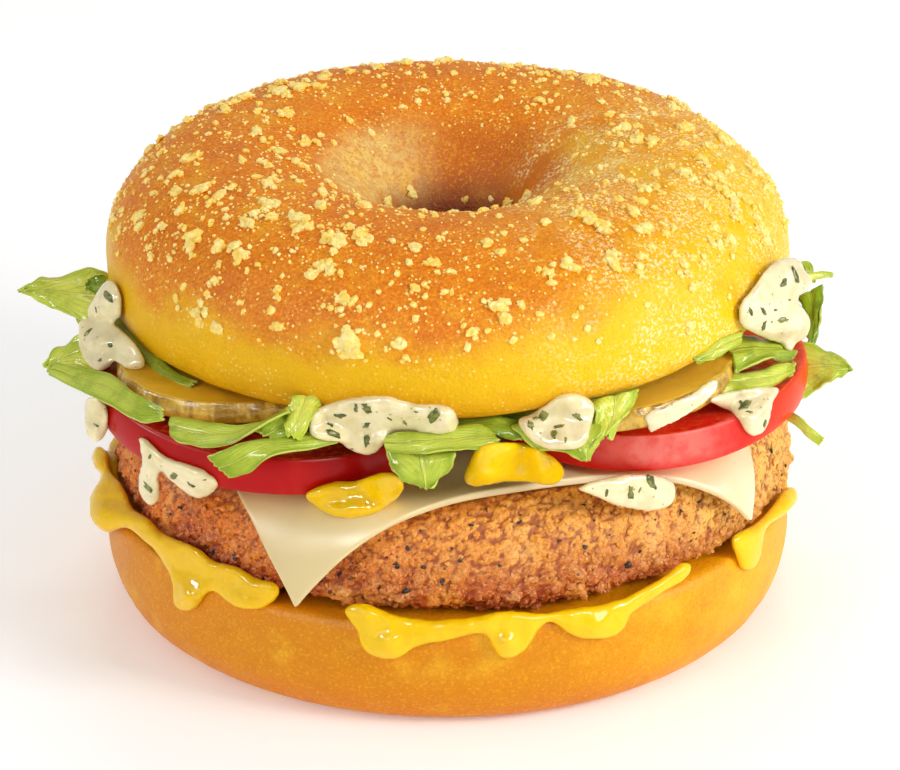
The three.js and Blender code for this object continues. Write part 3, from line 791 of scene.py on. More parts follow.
def make_tomato_skin():
    material, hand, shader, place = new_material("tomato skin")
    x, y, z, reach, right, front = compass(hand, place)
    streak = hand.noise(place, 5, 3, 0.5, squash=(1, 1, 0.35))
    # Painted shade and light: darker red on the left, more orange at the far right where the key light falls.
    side = hand.mix(hand.step(right, -0.5, 0.9), linear(180, 0, 1), linear(232, 22, 10))
    side = hand.mix(hand.step(right, 0.72, 1.0), side, linear(236, 84, 18))
    # Painted highlight: a broad pale pink patch on the right of the skin band, where a glossy highlight would be.
    bloom = hand.math("MULTIPLY", hand.step(right, 0.42, 0.56), hand.step(right, 0.78, 0.64))
    bloom = hand.math("MULTIPLY", bloom, hand.step(z, 0.0395, 0.0425))
    bloom = hand.math("MULTIPLY", bloom, hand.step(hand.noise(place, 2.0, 3), 0.3, 0.6, 0.35, 0.6))
    side = hand.mix(bloom, side, linear(246, 150, 136))
    base = hand.mix(hand.math("MULTIPLY", hand.step(streak, 0.5, 0.7), 0.3), side, linear(226, 44, 18))
    hand.set(shader.inputs["Base Color"], base)
    soften(shader, 0.42, 0.06, 0.8, (1, 0.15, 0.05), coat=0.2, coat_rough=0.22)
    shader.inputs["Specular IOR Level"].default_value = 0.1
    bumped(hand, shader, place, 0.05, 0.5, 0.12, 0.3)
    return material


def make_tomato_flesh():
    material, hand, shader, place = new_material("tomato flesh")
    x, y, z, reach, right, front = compass(hand, place)
    # Painted light and shade: darker red on the left, lighter towards the right where the key light falls.
    side = hand.mix(hand.step(right, -0.4, 0.7), linear(176, 4, 4), linear(240, 40, 22))
    fibre = hand.noise(place, 1.1, 4, 0.65)
    base = hand.mix(hand.math("MULTIPLY", hand.step(fibre, 0.46, 0.66), 0.6), side, linear(250, 110, 60))
    hand.set(shader.inputs["Base Color"], base)
    soften(shader, 0.3, 0.15, 1.2, (1, 0.15, 0.05), coat=0.1, coat_rough=0.15)
    bumped(hand, shader, place, 0.8, 0.4, 0.5, 0.25)
    return material


def make_pickle_flesh():
    material, hand, shader, place = new_material("pickle flesh")
    x, y, z, reach, right, front = compass(hand, place)
    # Painted light: lighter towards the right, where the key light falls.
    side = hand.mix(hand.step(right, -0.4, 0.5), linear(222, 176, 36), linear(250, 208, 72))
    cloud = hand.noise(place, 5, 3)
    base = hand.mix(hand.math("MULTIPLY", hand.step(cloud, 0.5, 0.7), 0.4), side, linear(160, 126, 10))
    hand.set(shader.inputs["Base Color"], base)
    soften(shader, 0.3, 0.15, 1.2, (0.9, 0.7, 0.1), coat=0.15, coat_rough=0.12)
    bumped(hand, shader, place, 0.4, 0.5, 0.3, 0.25)
    return material


def make_pickle_skin():
    material, hand, shader, place = new_material("pickle skin")
    x, y, z, reach, right, front = compass(hand, place)
    streak = hand.noise(place, 2.6, 4, 0.6, squash=(1, 1, 0.5))
    base = hand.mix(hand.step(streak, 0.38, 0.62), linear(164, 120, 20), linear(234, 190, 68))
    pale = hand.step(hand.noise(place, 3.4, 3), 0.58, 0.74)
    base = hand.mix(hand.math("MULTIPLY", pale, 0.5), base, linear(222, 184, 96))
    hand.set(shader.inputs["Base Color"], base)
    soften(shader, 0.24, 0.12, 1.0, (0.9, 0.7, 0.1), coat=0.2, coat_rough=0.08)
    bumped(hand, shader, place, 0.5, 0.9, 0.5, 0.35)
    return material


def make_herb_sauce():
    material, hand, shader, place = new_material("herb sauce")
    x, y, z, reach, right, front = compass(hand, place)
    # Painted light: a little lighter towards the right, where the key light falls.
    base = hand.mix(hand.step(right, -0.8, 0.7), linear(240, 226, 176), linear(246, 232, 186))
    cloud = hand.noise(place, 4.0, 2)
    base = hand.mix(hand.math("MULTIPLY", hand.step(cloud, 0.42, 0.68), 0.45), base, linear(206, 190, 122))
    specks = hand.cells(place, 1.5)
    fleck = hand.step(specks.outputs["Distance"], 0.17, 0.1)
    some = hand.step(hand.noise(place, 3.0, 1), 0.46, 0.52)
    base = hand.mix(hand.math("MULTIPLY", hand.math("MULTIPLY", fleck, some), 0.6), base, linear(122, 122, 50))
    hand.set(shader.inputs["Base Color"], base)
    soften(shader, 0.3, 0.3, 1.6, (1, 0.85, 0.5), coat=1.0, coat_rough=0.05)
    shader.inputs["Specular IOR Level"].default_value = 0.3
    wavy(hand, shader, place, 2.8, 1.0)
    return material


def make_herb():
    material, hand, shader, place = new_material("herb flecks")
    tint = hand.noise(place, 1.1, 2)
    base = hand.mix(hand.step(tint, 0.4, 0.62), linear(72, 84, 20), linear(132, 134, 46))
    hand.set(shader.inputs["Base Color"], base)
    soften(shader, 0.3, 0.0)
    bumped(hand, shader, place, 0.6, 0.2, 0.4, 0.15)
    return material


def make_char():
    material, hand, shader, place = new_material("dark spice flecks")
    tint = hand.noise(place, 0.9, 2)
    base = hand.mix(hand.step(tint, 0.4, 0.62), linear(24, 18, 10), linear(66, 46, 22))
    hand.set(shader.inputs["Base Color"], base)
    soften(shader, 0.5, 0.0)
    bumped(hand, shader, place, 0.6, 0.2, 0.4, 0.15)
    return material


def make_lettuce():
    """The leaf attribute holds how far along the leaf a point is, how far across, and how dark the leaf is."""
    material, hand, shader, place = new_material("lettuce")
    leaf = hand.add("ShaderNodeAttribute", attribute_name="leaf")
    along, across, own = hand.add("ShaderNodeSeparateXYZ", {"Vector": leaf.outputs["Vector"]}).outputs
    from_rib = hand.math("ABSOLUTE", across)
    rim = hand.math("MAXIMUM", hand.step(from_rib, 0.55, 1.0), hand.step(along, 0.6, 1.0))
    green = hand.mix(own, linear(176, 200, 10), linear(66, 114, 1))
    pale = hand.mix(own, linear(234, 238, 104), linear(154, 182, 16))
    base = hand.mix(hand.math("ADD", hand.math("MULTIPLY", rim, 0.75), 0.12), pale, green)
    slant = hand.math("ADD", hand.math("MULTIPLY", from_rib, 0.9), along)
    ripple = hand.math("SINE", hand.math("MULTIPLY", slant, 34.0))
    vein = hand.math("MAXIMUM", hand.step(from_rib, 0.09, 0.03), hand.math("MULTIPLY", hand.step(ripple, 0.9, 1.0), 0.5))
    base = hand.mix(hand.math("MULTIPLY", vein, 0.45), base, linear(232, 234, 116))
    patches = hand.noise(place, 5.5, 5, 0.65)
    blotch = hand.math("MULTIPLY", hand.step(patches, 0.44, 0.72), hand.step(rim, 1.0, 0.5, 0.25, 0.6))
    base = hand.mix(blotch, base, hand.mix(own, linear(146, 178, 6), linear(54, 96, 2)))
    deep = hand.math("MULTIPLY", hand.step(patches, 0.62, 0.8), own)
    base = hand.mix(hand.math("MULTIPLY", deep, 0.6), base, linear(44, 84, 2))
    crisp = hand.math("MAXIMUM", hand.step(from_rib, 0.9, 1.0), hand.step(along, 0.94, 1.0))
    base = hand.mix(hand.math("MULTIPLY", crisp, 0.5), base, linear(238, 240, 120))
    hand.set(shader.inputs["Base Color"], base)
    soften(shader, 0.34, 0.15, 0.6, (0.8, 1, 0.1), coat=0.25, coat_rough=0.12)
    shader.inputs["Specular IOR Level"].default_value = 0.12
    height = hand.math("ADD", hand.math("MULTIPLY", vein, 0.5), hand.noise(place, 2.4, 3))
    bump = hand.add("ShaderNodeBump", {"Height": height, "Strength": 0.8, "Distance": 0.6 * MM})
    hand.set(shader.inputs["Normal"], bump.outputs["Normal"])
    return material


# Rolls


def lip_rise(angle):
    away = math.atan2(math.sin(angle - math.radians(320)), math.cos(angle - math.radians(320)))
    return 0.1 + 1.9 * math.cos(angle) + 0.4 * math.exp(-((away / 0.5) ** 2))


def make_bagel_top():
    s = UPPER_ROLL
    profile = [
        (s["hole"] + 1.4, s["cut"]),
        (s["radius"] - 4.2, s["cut"]),
        *quarter((s["radius"] - 3.0, s["lip"] - 0.2), (s["radius"], s["widest"]), 2.1, 14, True)[:-1],
        *quarter((s["radius"], s["widest"]), (s["crown"], s["top"]), 2.1, 40, False),
        *quarter((s["crown"], s["top"]), (s["hole"], s["cut"] + 6), 1.9, 40, True)[1:],
        (s["hole"], s["cut"] + 1.2),
    ]
    bm = spun(evened(profile, 0.8), 400)
    for vert in bm.verts:
        angle = math.atan2(vert.co.y, vert.co.x)
        share = 1 - smoothstep(s["cut"], s["cut"] + 9, vert.co.z)
        swell = 1 + 0.005 * wave(angle, 2.2)
        vert.co.x *= swell
        vert.co.y *= swell
        vert.co.z += lip_rise(angle) * share

    def relief(place):
        reach = math.hypot(place.x, place.y)
        outside = smoothstep(10, 24, reach)
        soft = 0.42 * grain(place, 15, 1) + 0.2 * grain(place, 5.5, 2)
        rough = 0.09 * grain(place, 1.9, 3) + 0.07 * grain(place, 1.0, 4)
        streaks = 0.16 * noise.noise(Vector((place.x / 1.4, place.y / 1.4, place.z / 14)))
        baked = smoothstep(59, 67, place.z) * outside
        return soft * (0.3 + 0.7 * outside) + rough * (0.45 + 1.1 * baked) + streaks * (1 - outside)

    pushed(bm, relief)
    return bm


def make_bagel_bottom():
    s = LOWER_ROLL
    profile = [
        (s["base_hole"], 0),
        *quarter((s["base"], 0), (s["radius"], s["widest"]), 2.3, 30, True),
        *quarter((s["radius"], s["widest"]), (s["radius"] - 1.4, s["cut"]), 2.8, 16, False)[1:],
        (s["hole"] + 1.2, s["cut"]),
        (s["hole"], s["cut"] - 1.2),
        (s["hole"], 8),
        (s["base_hole"] - 2.2, 2.2),
    ]
    bm = spun(evened(profile, 1.0), 400)
    for vert in bm.verts:
        angle = math.atan2(vert.co.y, vert.co.x)
        swell = 1 + 0.006 * wave(angle, 0.4) * smoothstep(0, 8, vert.co.z)
        vert.co.x *= swell
        vert.co.y *= swell

    def relief(place):
        if place.z < 0.4:
            return 0
        soft = 0.35 * grain(place, 13, 5) + 0.12 * grain(place, 4, 6)
        return (soft + 0.06 * grain(place, 1.4, 7)) * smoothstep(0.3, 4, place.z)

    pushed(bm, relief)
    return bm


# Cheese crumbs that stand out in the photograph: column, row, width in pixels
PLACED_CRUMBS = [
    (279, 93, 17), (245, 98, 17), (208, 106, 12), (299, 87, 14), (323, 79, 12), (188, 160, 14), (197, 157, 12),
    (263, 141, 10), (243, 162, 9), (264, 163, 9), (279, 153, 14), (306, 143, 12), (316, 143, 10), (282, 115, 12),
    (258, 112, 12), (226, 112, 10), (301, 166, 10), (277, 181, 9), (293, 178, 8), (328, 182, 9), (334, 187, 9),
    (253, 192, 8), (200, 190, 14), (208, 186, 9), (210, 204, 11), (232, 188, 9), (268, 204, 13), (276, 206, 11),
    (254, 214, 10), (252, 223, 9), (139, 218, 13), (141, 227, 12), (195, 236, 15), (191, 245, 12), (192, 256, 8),
    (219, 249, 13), (236, 246, 13), (240, 257, 15), (297, 218, 16), (302, 228, 15), (321, 207, 14), (362, 207, 17),
    (328, 238, 15), (338, 244, 15), (334, 252, 10), (361, 237, 16), (322, 267, 13), (331, 271, 11), (311, 276, 11),
    (216, 281, 11), (208, 294, 8), (177, 299, 10), (196, 313, 12), (200, 322, 11), (217, 328, 12), (277, 326, 10),
    (239, 303, 8), (277, 298, 7), (350, 341, 20), (354, 352, 18), (346, 353, 14), (415, 247, 12), (387, 204, 13),
    (386, 350, 6), (406, 357, 9), (431, 262, 10), (416, 319, 8), (150, 248, 8), (226, 218, 8), (131, 170, 14),
    (123, 184, 10), (453, 74, 10), (411, 194, 12), (591, 81, 18), (586, 79, 12), (610, 115, 12), (626, 128, 12),
    (636, 127, 10), (640, 140, 15), (652, 141, 14), (700, 159, 11), (601, 168, 9), (575, 157, 9), (583, 156, 8),
    (686, 128, 15), (711, 147, 13), (685, 174, 15), (692, 180, 10), (717, 177, 15), (725, 193, 15), (734, 202, 13),
    (752, 163, 15), (757, 175, 15), (766, 162, 13), (768, 188, 13), (646, 190, 12), (656, 187, 11), (662, 193, 9),
    (642, 202, 11), (634, 212, 13), (644, 229, 14), (662, 224, 8), (666, 234, 9), (711, 242, 11), (719, 246, 10),
    (729, 242, 15), (762, 230, 14), (765, 241, 13), (691, 199, 9), (583, 216, 15), (592, 222, 15), (604, 229, 14),
    (567, 264, 13), (575, 268, 11), (612, 258, 15), (615, 267, 12), (651, 247, 8), (684, 265, 10), (689, 275, 9),
    (549, 273, 11), (500, 307, 14), (505, 318, 13), (472, 332, 11), (527, 198, 14), (536, 203, 13), (509, 205, 13),
    (466, 200, 8), (491, 199, 8), (745, 200, 14), (711, 127, 14), (674, 102, 12), (682, 106, 12), (691, 111, 13),
    (724, 141, 16), (781, 219, 10), (616, 94, 8), (540, 74, 11), (547, 75, 10), (569, 75, 12), (521, 75, 8),
    (503, 75, 8),
]


def make_crumbs(roll_tree):
    random_ = random.Random(7)
    bm = bmesh.new()

    def cluster(place, outwards, size):
        pieces = 3 + int(size > 0.9) + int(size > 1.3) * 2
        for i in range(pieces):
            side = outwards.orthogonal()
            side.rotate(Matrix.Rotation(random_.uniform(0, 2 * math.pi), 3, outwards))
            spot = place + side * size * random_.uniform(0.15, 0.7) * (i > 0) + outwards * size * 0.12
            scale = size * (0.8 if i == 0 else random_.uniform(0.35, 0.66))
            leaning = (outwards + side * random_.uniform(-0.5, 0.5)).normalized()
            chunk(bm, random_, spot, leaning, scale, 0.6, 2 if scale > 0.7 else 1, 0.45, narrow=0.75)

    for column, row, width in PLACED_CRUMBS:
        place, outwards = landed(roll_tree, column, row)
        if place is None:
            continue
        if outwards.dot(BACK) < 0:
            outwards = -outwards
        cluster(place, outwards, width * 1.3 / 2 / PIXELS_PER_MM)

    def scatter(count, size_of, where, detail):
        made = 0
        while made < count:
            azimuth = random_.uniform(0, 360)
            reach = where()
            angle = math.radians(azimuth)
            start = Vector((reach * math.cos(angle), reach * math.sin(angle), 100))
            place, outwards, _, _ = roll_tree.ray_cast(start, Vector((0, 0, -1)))
            if place is None or place.z < 61:
                continue
            thick = 0.55 + 0.45 * noise.noise(place / 9 + Vector((3, 1, 5)))
            rim = smoothstep(38, 52, reach)
            if random_.random() > thick + 0.35 * rim:
                continue
            made += 1
            size = size_of()
            if size > 0.75:
                cluster(place, outwards, size)
            else:
                chunk(bm, random_, place + outwards * size * 0.15, outwards, size, 0.7, detail, 0.5)

    scatter(150, lambda: random_.uniform(0.7, 1.35), lambda: 18 + 36.6 * random_.random() ** 0.6, 1)
    scatter(560, lambda: random_.uniform(0.35, 0.75), lambda: 16 + 38.8 * random_.random() ** 0.55, 1)
    scatter(3200, lambda: random_.uniform(0.14, 0.34), lambda: 15 + 39.9 * random_.random() ** 0.6, 1)
    return bm


# Patty


def make_patty_shape():
    s = PATTY
    foot = (s["radius"], s["bottom"] + s["foot"] + 2)
    side = [
        *quarter((s["radius"] - s["foot"] - 3, s["bottom"]), foot, 2, 12, True),
        *quarter(foot, (s["radius"] - s["shoulder"], s["top"] + 0.2), 2, 30, False)[1:],
    ]
    profile = [
        *evened([(2, s["bottom"] + 1.5), (46, s["bottom"] + 1.5)], 4),
        *evened(side, 0.4),
        *evened([(s["radius"] - s["shoulder"] - 3, s["top"]), (2, s["top"])], 4),
    ]
    bm = spun(profile, 680)
    layer = bm.verts.layers.float.new("lift")
    bm.normal_update()
    moves = []
    for vert in bm.verts:
        place = vert.co
        side = smoothstep(42, 47, math.hypot(place.x, place.y))
        if side == 0:
            vert[layer] = 0.5
            continue
        low = smoothstep(34, 23, place.z)
        crumbs = 0.62 * pebbles(place, 3.2, 2.0) * (0.5 + 0.7 * low)
        crumbs += 0.5 * pebbles(place, 1.6, 5.0) + 0.26 * pebbles(place, 0.9, 9.0)
        vert[layer] = clamp(crumbs * 0.75)
        soft = 0.5 * grain(place, 8, 11) + 0.12 * grain(place, 0.8, 13)
        fuller = 2.2 * math.exp(-((math.atan2(place.y, place.x) / 0.45) ** 2))
        moves.append((vert, vert.normal * side * (crumbs + soft + fuller - 0.6)))
    for vert, move in moves:
        vert.co += move
    return bm


def make_patty_bits(patty_tree):
    """Loose crumbs on the side, thickest low down where the coat is coarse."""
    random_ = random.Random(15)
    bm = bmesh.new()
    layer = bm.verts.layers.float.new("lift")
    made = 0
    while made < 2400:
        azimuth = random_.uniform(0, 360)
        height = 20.0 + 14.5 * random_.random() ** 1.5
        out = around(azimuth, 1, 0)
        place, outwards, _, _ = patty_tree.ray_cast(around(azimuth, 80, height), -out)
        if place is None or noise.noise(place / 5) < random_.uniform(-0.6, 0.2):
            continue
        made += 1
        size = random_.uniform(0.25, 0.5) if random_.random() < 0.8 else random_.uniform(0.5, 0.95)
        chunk(bm, random_, place + outwards * size * 0.1, outwards, size, 0.7, 1, 0.6)
    # A lift of 0.62 gives them a little painted light, as crumbs that stand out.
    for vert in bm.verts:
        vert[layer] = 0.62
    return bm


SPICE = [
    (584, 546, 9), (628, 565, 9), (520, 522, 6), (595, 522, 5), (680, 512, 8), (700, 500, 7), (774, 489, 6),
    (472, 525, 6), (460, 560, 7), (694, 532, 5), (443, 581, 8), (590, 591, 6), (424, 568, 9), (353, 578, 9),
    (408, 548, 6), (387, 556, 7), (462, 559, 5), (441, 582, 7), (212, 550, 7), (236, 553, 7), (127, 478, 5),
    (405, 592, 9), (277, 597, 7), (398, 565, 8), (378, 587, 7), (340, 574, 6), (365, 598, 6), (330, 590, 6),
    (236, 560, 6), (206, 545, 5), (180, 508, 5), (170, 515, 4), (136, 470, 4), (520, 515, 4), (640, 552, 4),
    (560, 540, 4), (655, 520, 4), (500, 565, 5), (724, 514, 4), (610, 535, 4), (540, 600, 5), (480, 600, 5),
    (487, 510, 4), (451, 548, 4), (420, 530, 4), (585, 505, 4), (722, 500, 4), (745, 530, 4),
]


def make_spice(patty_tree):
    random_ = random.Random(19)
    bm = bmesh.new()
    places = [(landed(patty_tree, column, row), width) for column, row, width in SPICE]
    for _ in range(110):
        azimuth = random_.uniform(-20, 200)
        out = around(azimuth, 1, 0)
        hit = patty_tree.ray_cast(around(azimuth, 80, random_.uniform(21, 35)), -out)
        places.append((hit[:2], random_.uniform(3, 8)))
    for (place, outwards), width in places:
        if place is None:
            continue
        size = width / 2 / PIXELS_PER_MM
        for _ in range(2):
            shift = Vector([random_.uniform(-0.5, 0.5) * size for _ in range(3)])
            chunk(bm, random_, place + shift + outwards * 0.08, outwards, size * random_.uniform(0.5, 0.8), 0.3, 1, 0.8)
    return bm


# Sauces. Each pool is an outline by pixel, its thickness, its least distance from the axis, and its swells:
# column, row, radius in pixels and extra thickness.
YELLOW_RING = [
    (
        [(343, 610), (353, 603), (364, 602), (377, 607), (392, 613), (410, 617), (432, 619), (450, 618), (475, 616),
         (497, 611), (515, 610), (533, 612), (550, 612), (567, 608), (583, 606), (600, 604), (613, 600), (625, 597),
         (640, 589), (655, 581), (668, 573), (678, 563), (688, 561), (693, 568), (688, 577), (680, 584), (666, 591),
         (652, 601), (640, 608), (630, 617), (627, 626), (618, 635), (604, 640), (585, 640), (570, 635), (558, 626),
         (550, 622), (541, 628), (535, 638), (526, 650), (513, 659), (501, 658), (493, 648), (487, 637), (480, 634),
         (465, 637), (445, 642), (425, 645), (413, 649), (405, 656), (395, 660), (380, 659), (368, 654), (360, 645),
         (357, 632), (350, 622)],
        1.9, 55.6, [(387, 642, 17, 1.2), (509, 642, 15, 1.4), (598, 624, 18, 1.2), (365, 614, 12, 0.6), (680, 573, 9, 0.5)],
    ),
    (
        [(96, 445), (91, 457), (94, 468), (101, 473), (99, 480), (94, 488), (89, 498), (88, 508), (90, 518), (96, 527),
         (104, 532), (112, 533), (122, 528), (130, 530), (140, 538), (150, 547), (158, 556), (164, 566), (170, 578),
         (172, 590), (172, 602), (178, 610), (186, 612), (195, 610), (202, 602), (206, 595), (214, 592), (222, 598),
         (232, 606), (245, 610), (258, 610), (268, 606), (276, 600), (281, 592), (278, 584), (270, 580), (258, 578),
         (248, 572), (238, 566), (226, 563), (214, 560), (205, 552), (196, 546), (184, 541), (172, 536), (160, 530),
         (152, 520), (142, 513), (134, 508), (130, 500), (126, 490), (120, 480), (113, 474), (110, 466), (109, 455),
         (104, 447)],
        1.9, 55.2, [(101, 458, 10, 0.6), (104, 508, 19, 1.0), (186, 597, 15, 1.3), (245, 593, 22, 0.9), (148, 524, 9, 0.6)],
    ),
    (
        [(793, 486), (799, 493), (797, 503), (789, 512), (778, 520), (768, 527), (764, 540), (762, 555), (756, 567),
         (748, 572), (739, 567), (735, 556), (731, 546), (730, 538), (737, 532), (747, 527), (757, 521), (766, 512),
         (774, 502), (781, 492), (787, 486)],
        1.8, 55.6, [(749, 553, 14, 1.1), (788, 498, 11, 0.7)],
    ),
]
# The same on the sides that the photo doesn't show, by azimuth in degrees and height in mm.
BACK_SAUCE = [
    [(12, 21.2), (20, 21.7), (32, 21.1), (46, 21.6), (60, 21.2), (68, 21.4), (71, 20.2), (67, 19.2), (63, 18.2),
     (61, 15.4), (58.5, 13.9), (56, 15.0), (54, 18.0), (48, 19.3), (40, 19.0), (36, 17.6), (33, 17.0), (30, 18.0),
     (26, 19.3), (18, 19.5), (12, 19.8)],
    [(66, 21.0), (76, 21.7), (90, 21.2), (102, 21.7), (114, 21.2), (124, 21.6), (131, 20.6), (127, 19.2), (119, 19.3),
     (112, 18.4), (109, 15.0), (106, 13.4), (103.5, 14.6), (101, 18.2), (94, 19.3), (86, 18.4), (82, 18.0), (77, 19.0),
     (71, 19.4), (66, 19.6)],
    [(126, 21.2), (136, 21.7), (148, 21.3), (160, 21.6), (172, 21.2), (183, 21.6), (190, 20.8), (187, 19.4), (176, 19.4),
     (166, 19.0), (161, 17.6), (159, 14.6), (156.5, 14.0), (154, 16.0), (151, 18.8), (143, 19.2), (137, 17.6),
     (132.5, 16.6), (129, 18.0), (126, 19.4)],
]
SAUCE_RADIUS = 56.0


def unrolled(outline):
    """An outline by azimuth and height as columns and rows for from_outside."""
    arc = SAUCE_RADIUS * PIXELS_PER_MM
    return [(math.radians(azimuth) * arc, -height * PIXELS_PER_MM) for azimuth, height in outline]


def make_lower_sauce(food):
    bm = bmesh.new()
    for pool in YELLOW_RING:
        add_pour(bm, food, *pool)
    for outline in BACK_SAUCE:
        add_pour(bm, food, unrolled(outline), 1.7, 55.4, line=from_outside)
    return melted(bm, 0.36, 12)


DABS = {
    "left": (
        [(304, 496), (313, 488), (334, 481), (355, 480), (374, 474), (390, 471), (402, 477), (406, 486), (400, 496),
         (386, 508), (370, 516), (347, 519), (328, 515), (314, 506)],
        2.2, 50.5, [(350, 502, 26, 0.7), (385, 488, 16, 0.5)],
    ),
    "right": (
        [(463, 476), (469, 461), (476, 449), (491, 442), (517, 441), (537, 447), (556, 458), (565, 469), (562, 480),
         (550, 486), (530, 483), (509, 482), (492, 485), (475, 487), (465, 483)],
        2.3, 49.5, [(482, 470, 16, 0.6), (545, 472, 16, 0.6)],
    ),
}
HERB_SAUCE = {
    "herb_sauce_left_top": [
        ([(110, 279), (118, 286), (123, 300), (122, 316), (114, 323), (98, 322), (86, 312), (94, 296), (103, 283)],
         1.6, 55.6, [(112, 300, 12, 0.5)]),
        ([(80, 320), (97, 317), (111, 321), (125, 332), (138, 346), (146, 362), (141, 370), (126, 369), (115, 362),
          (110, 368), (100, 372), (86, 364), (79, 350), (77, 334)],
         1.8, 56.0, [(98, 345, 20, 0.8), (135, 362, 10, 0.5)]),
    ],
    "herb_sauce_left_drop": [
        ([(88, 396), (100, 398), (108, 408), (110, 420), (106, 436), (97, 443), (87, 436), (83, 420), (84, 405)],
         1.7, 55.8, [(96, 428, 12, 0.9)]),
    ],
    "herb_sauce_left_patty": [
        ([(139, 436), (150, 441), (167, 456), (191, 464), (206, 470), (219, 483), (215, 492), (205, 498), (193, 498),
          (181, 490), (168, 479), (161, 472), (159, 480), (161, 494), (158, 503), (150, 506), (141, 498), (137, 482),
          (141, 465), (140, 450)],
         1.3, 53.2, [(151, 494, 11, 1.0), (192, 482, 15, 0.4)]),
    ],
    "herb_sauce_front_left": [
        ([(308, 424), (316, 410), (334, 401), (358, 396), (384, 394), (406, 400), (420, 403), (437, 403), (452, 407),
          (459, 419), (456, 431), (441, 435), (419, 433), (401, 432), (388, 436), (384, 446), (375, 454), (362, 455),
          (349, 450), (338, 443), (321, 441), (310, 435)],
         1.9, 51.8, [(364, 438, 18, 0.9), (442, 419, 16, 0.8), (340, 420, 20, 0.3)]),
    ],
    "herb_sauce_front_right": [
        ([(517, 419), (530, 413), (547, 403), (558, 395), (572, 392), (590, 398), (596, 409), (592, 427), (589, 440),
          (580, 449), (565, 451), (549, 450), (538, 446), (527, 438), (520, 428)],
         1.9, 51.0, [(576, 408, 18, 0.9), (560, 438, 16, 0.6)]),
    ],
    "herb_sauce_cheese": [
        ([(577, 489), (588, 482), (604, 478), (624, 474), (649, 473), (669, 479), (677, 488), (675, 501), (665, 509),
          (647, 512), (628, 509), (615, 506), (600, 499), (587, 494)],
         1.4, 53.5, [(655, 496, 16, 0.8), (620, 492, 16, 0.5)]),
    ],
    "herb_sauce_tomato": [
        ([(708, 400), (720, 393), (738, 389), (760, 386), (778, 386), (779, 394), (774, 402), (772, 414), (770, 422),
          (765, 431), (758, 436), (751, 436), (744, 430), (738, 420), (730, 412), (718, 407)],
         1.5, 50.0, [(758, 420, 15, 0.8)]),
    ],
    "herb_sauce_right_top": [
        ([(786, 256), (795, 257), (802, 262), (806, 271), (813, 280), (810, 289), (801, 295), (799, 302), (805, 309),
          (811, 319), (811, 329), (806, 338), (797, 344), (793, 351), (785, 351), (780, 344), (770, 341), (756, 335),
          (744, 329), (738, 320), (738, 310), (742, 300), (750, 291), (757, 281), (765, 270), (776, 260)],
         1.3, 55.4, [(788, 324, 18, 1.2), (758, 314, 16, 0.9), (795, 273, 12, 0.5)]),
    ],
}
PICKLE_FILM = [
    ([(643, 418), (652, 409), (662, 408), (670, 402), (690, 394), (702, 385), (713, 378), (719, 381), (717, 391),
      (708, 401), (694, 411), (678, 421), (662, 428), (650, 433), (647, 425)],
     0.35, 45.0, [(670, 418, 10, 0.3), (700, 398, 8, 0.3)]),
]
BACK_HERB_SAUCE = {
    "herb_sauce_back_left": [(121, 53.6), (126, 55.6), (131, 54.4), (136, 54.6), (139, 51.6), (137.5, 48.0), (134, 45.6),
                             (131.5, 48.4), (128, 48.6), (125, 46.2), (121.5, 48.0), (119.5, 51.0)],
    "herb_sauce_back_right": [(68.5, 52.6), (66, 55.2), (61, 54.6), (56, 55.4), (51.5, 53.4), (51, 50.2), (54, 48.6),
                              (57, 45.4), (60, 47.6), (63.5, 48.8), (67, 46.8), (69.5, 49.6)],
}
HERB_FLECKS = {
    "herb_sauce_left_top": [(108, 297, 15), (88, 332, 10), (110, 345, 8), (84, 318, 10), (96, 310, 5), (100, 360, 5)],
    "herb_sauce_left_drop": [(96, 425, 5)],
    "herb_sauce_left_patty": [(148, 488, 14), (174, 476, 12), (191, 485, 9), (150, 457, 6), (205, 480, 4), (146, 484, 8)],
    "herb_sauce_front_left": [
        (367, 409, 13), (340, 416, 10), (334, 434, 13), (367, 425, 10), (367, 441, 10), (434, 416, 17), (405, 423, 6),
        (390, 419, 5), (356, 408, 8), (330, 424, 6), (352, 449, 5), (416, 412, 4),
    ],
    "herb_sauce_front_right": [
        (544, 416, 14), (554, 434, 11), (578, 417, 9), (531, 425, 9), (559, 426, 8), (566, 440, 5), (536, 418, 6),
    ],
    "herb_sauce_cheese": [(607, 493, 6), (631, 493, 14), (651, 482, 13), (655, 487, 7), (640, 490, 5)],
    "herb_sauce_tomato": [(745, 405, 12), (765, 424, 10), (741, 402, 8), (750, 412, 6)],
    "herb_sauce_right_top": [
        (796, 275, 12), (784, 283, 13), (764, 311, 10), (751, 312, 7), (764, 326, 11), (783, 320, 9), (776, 310, 5),
        (772, 322, 4), (790, 300, 5),
    ],
}


def make_flecks(tree, spots, random_, bm):
    for column, row, width in spots:
        place, outwards = landed(tree, column, row)
        if place is None:
            continue
        size = width / 2 / PIXELS_PER_MM
        chunk(bm, random_, place - outwards * 0.03, outwards, size * 1.15, 0.16, 2, 0.6, narrow=0.5)


# Cheese


CHEESE_FRONT = math.radians(-72)


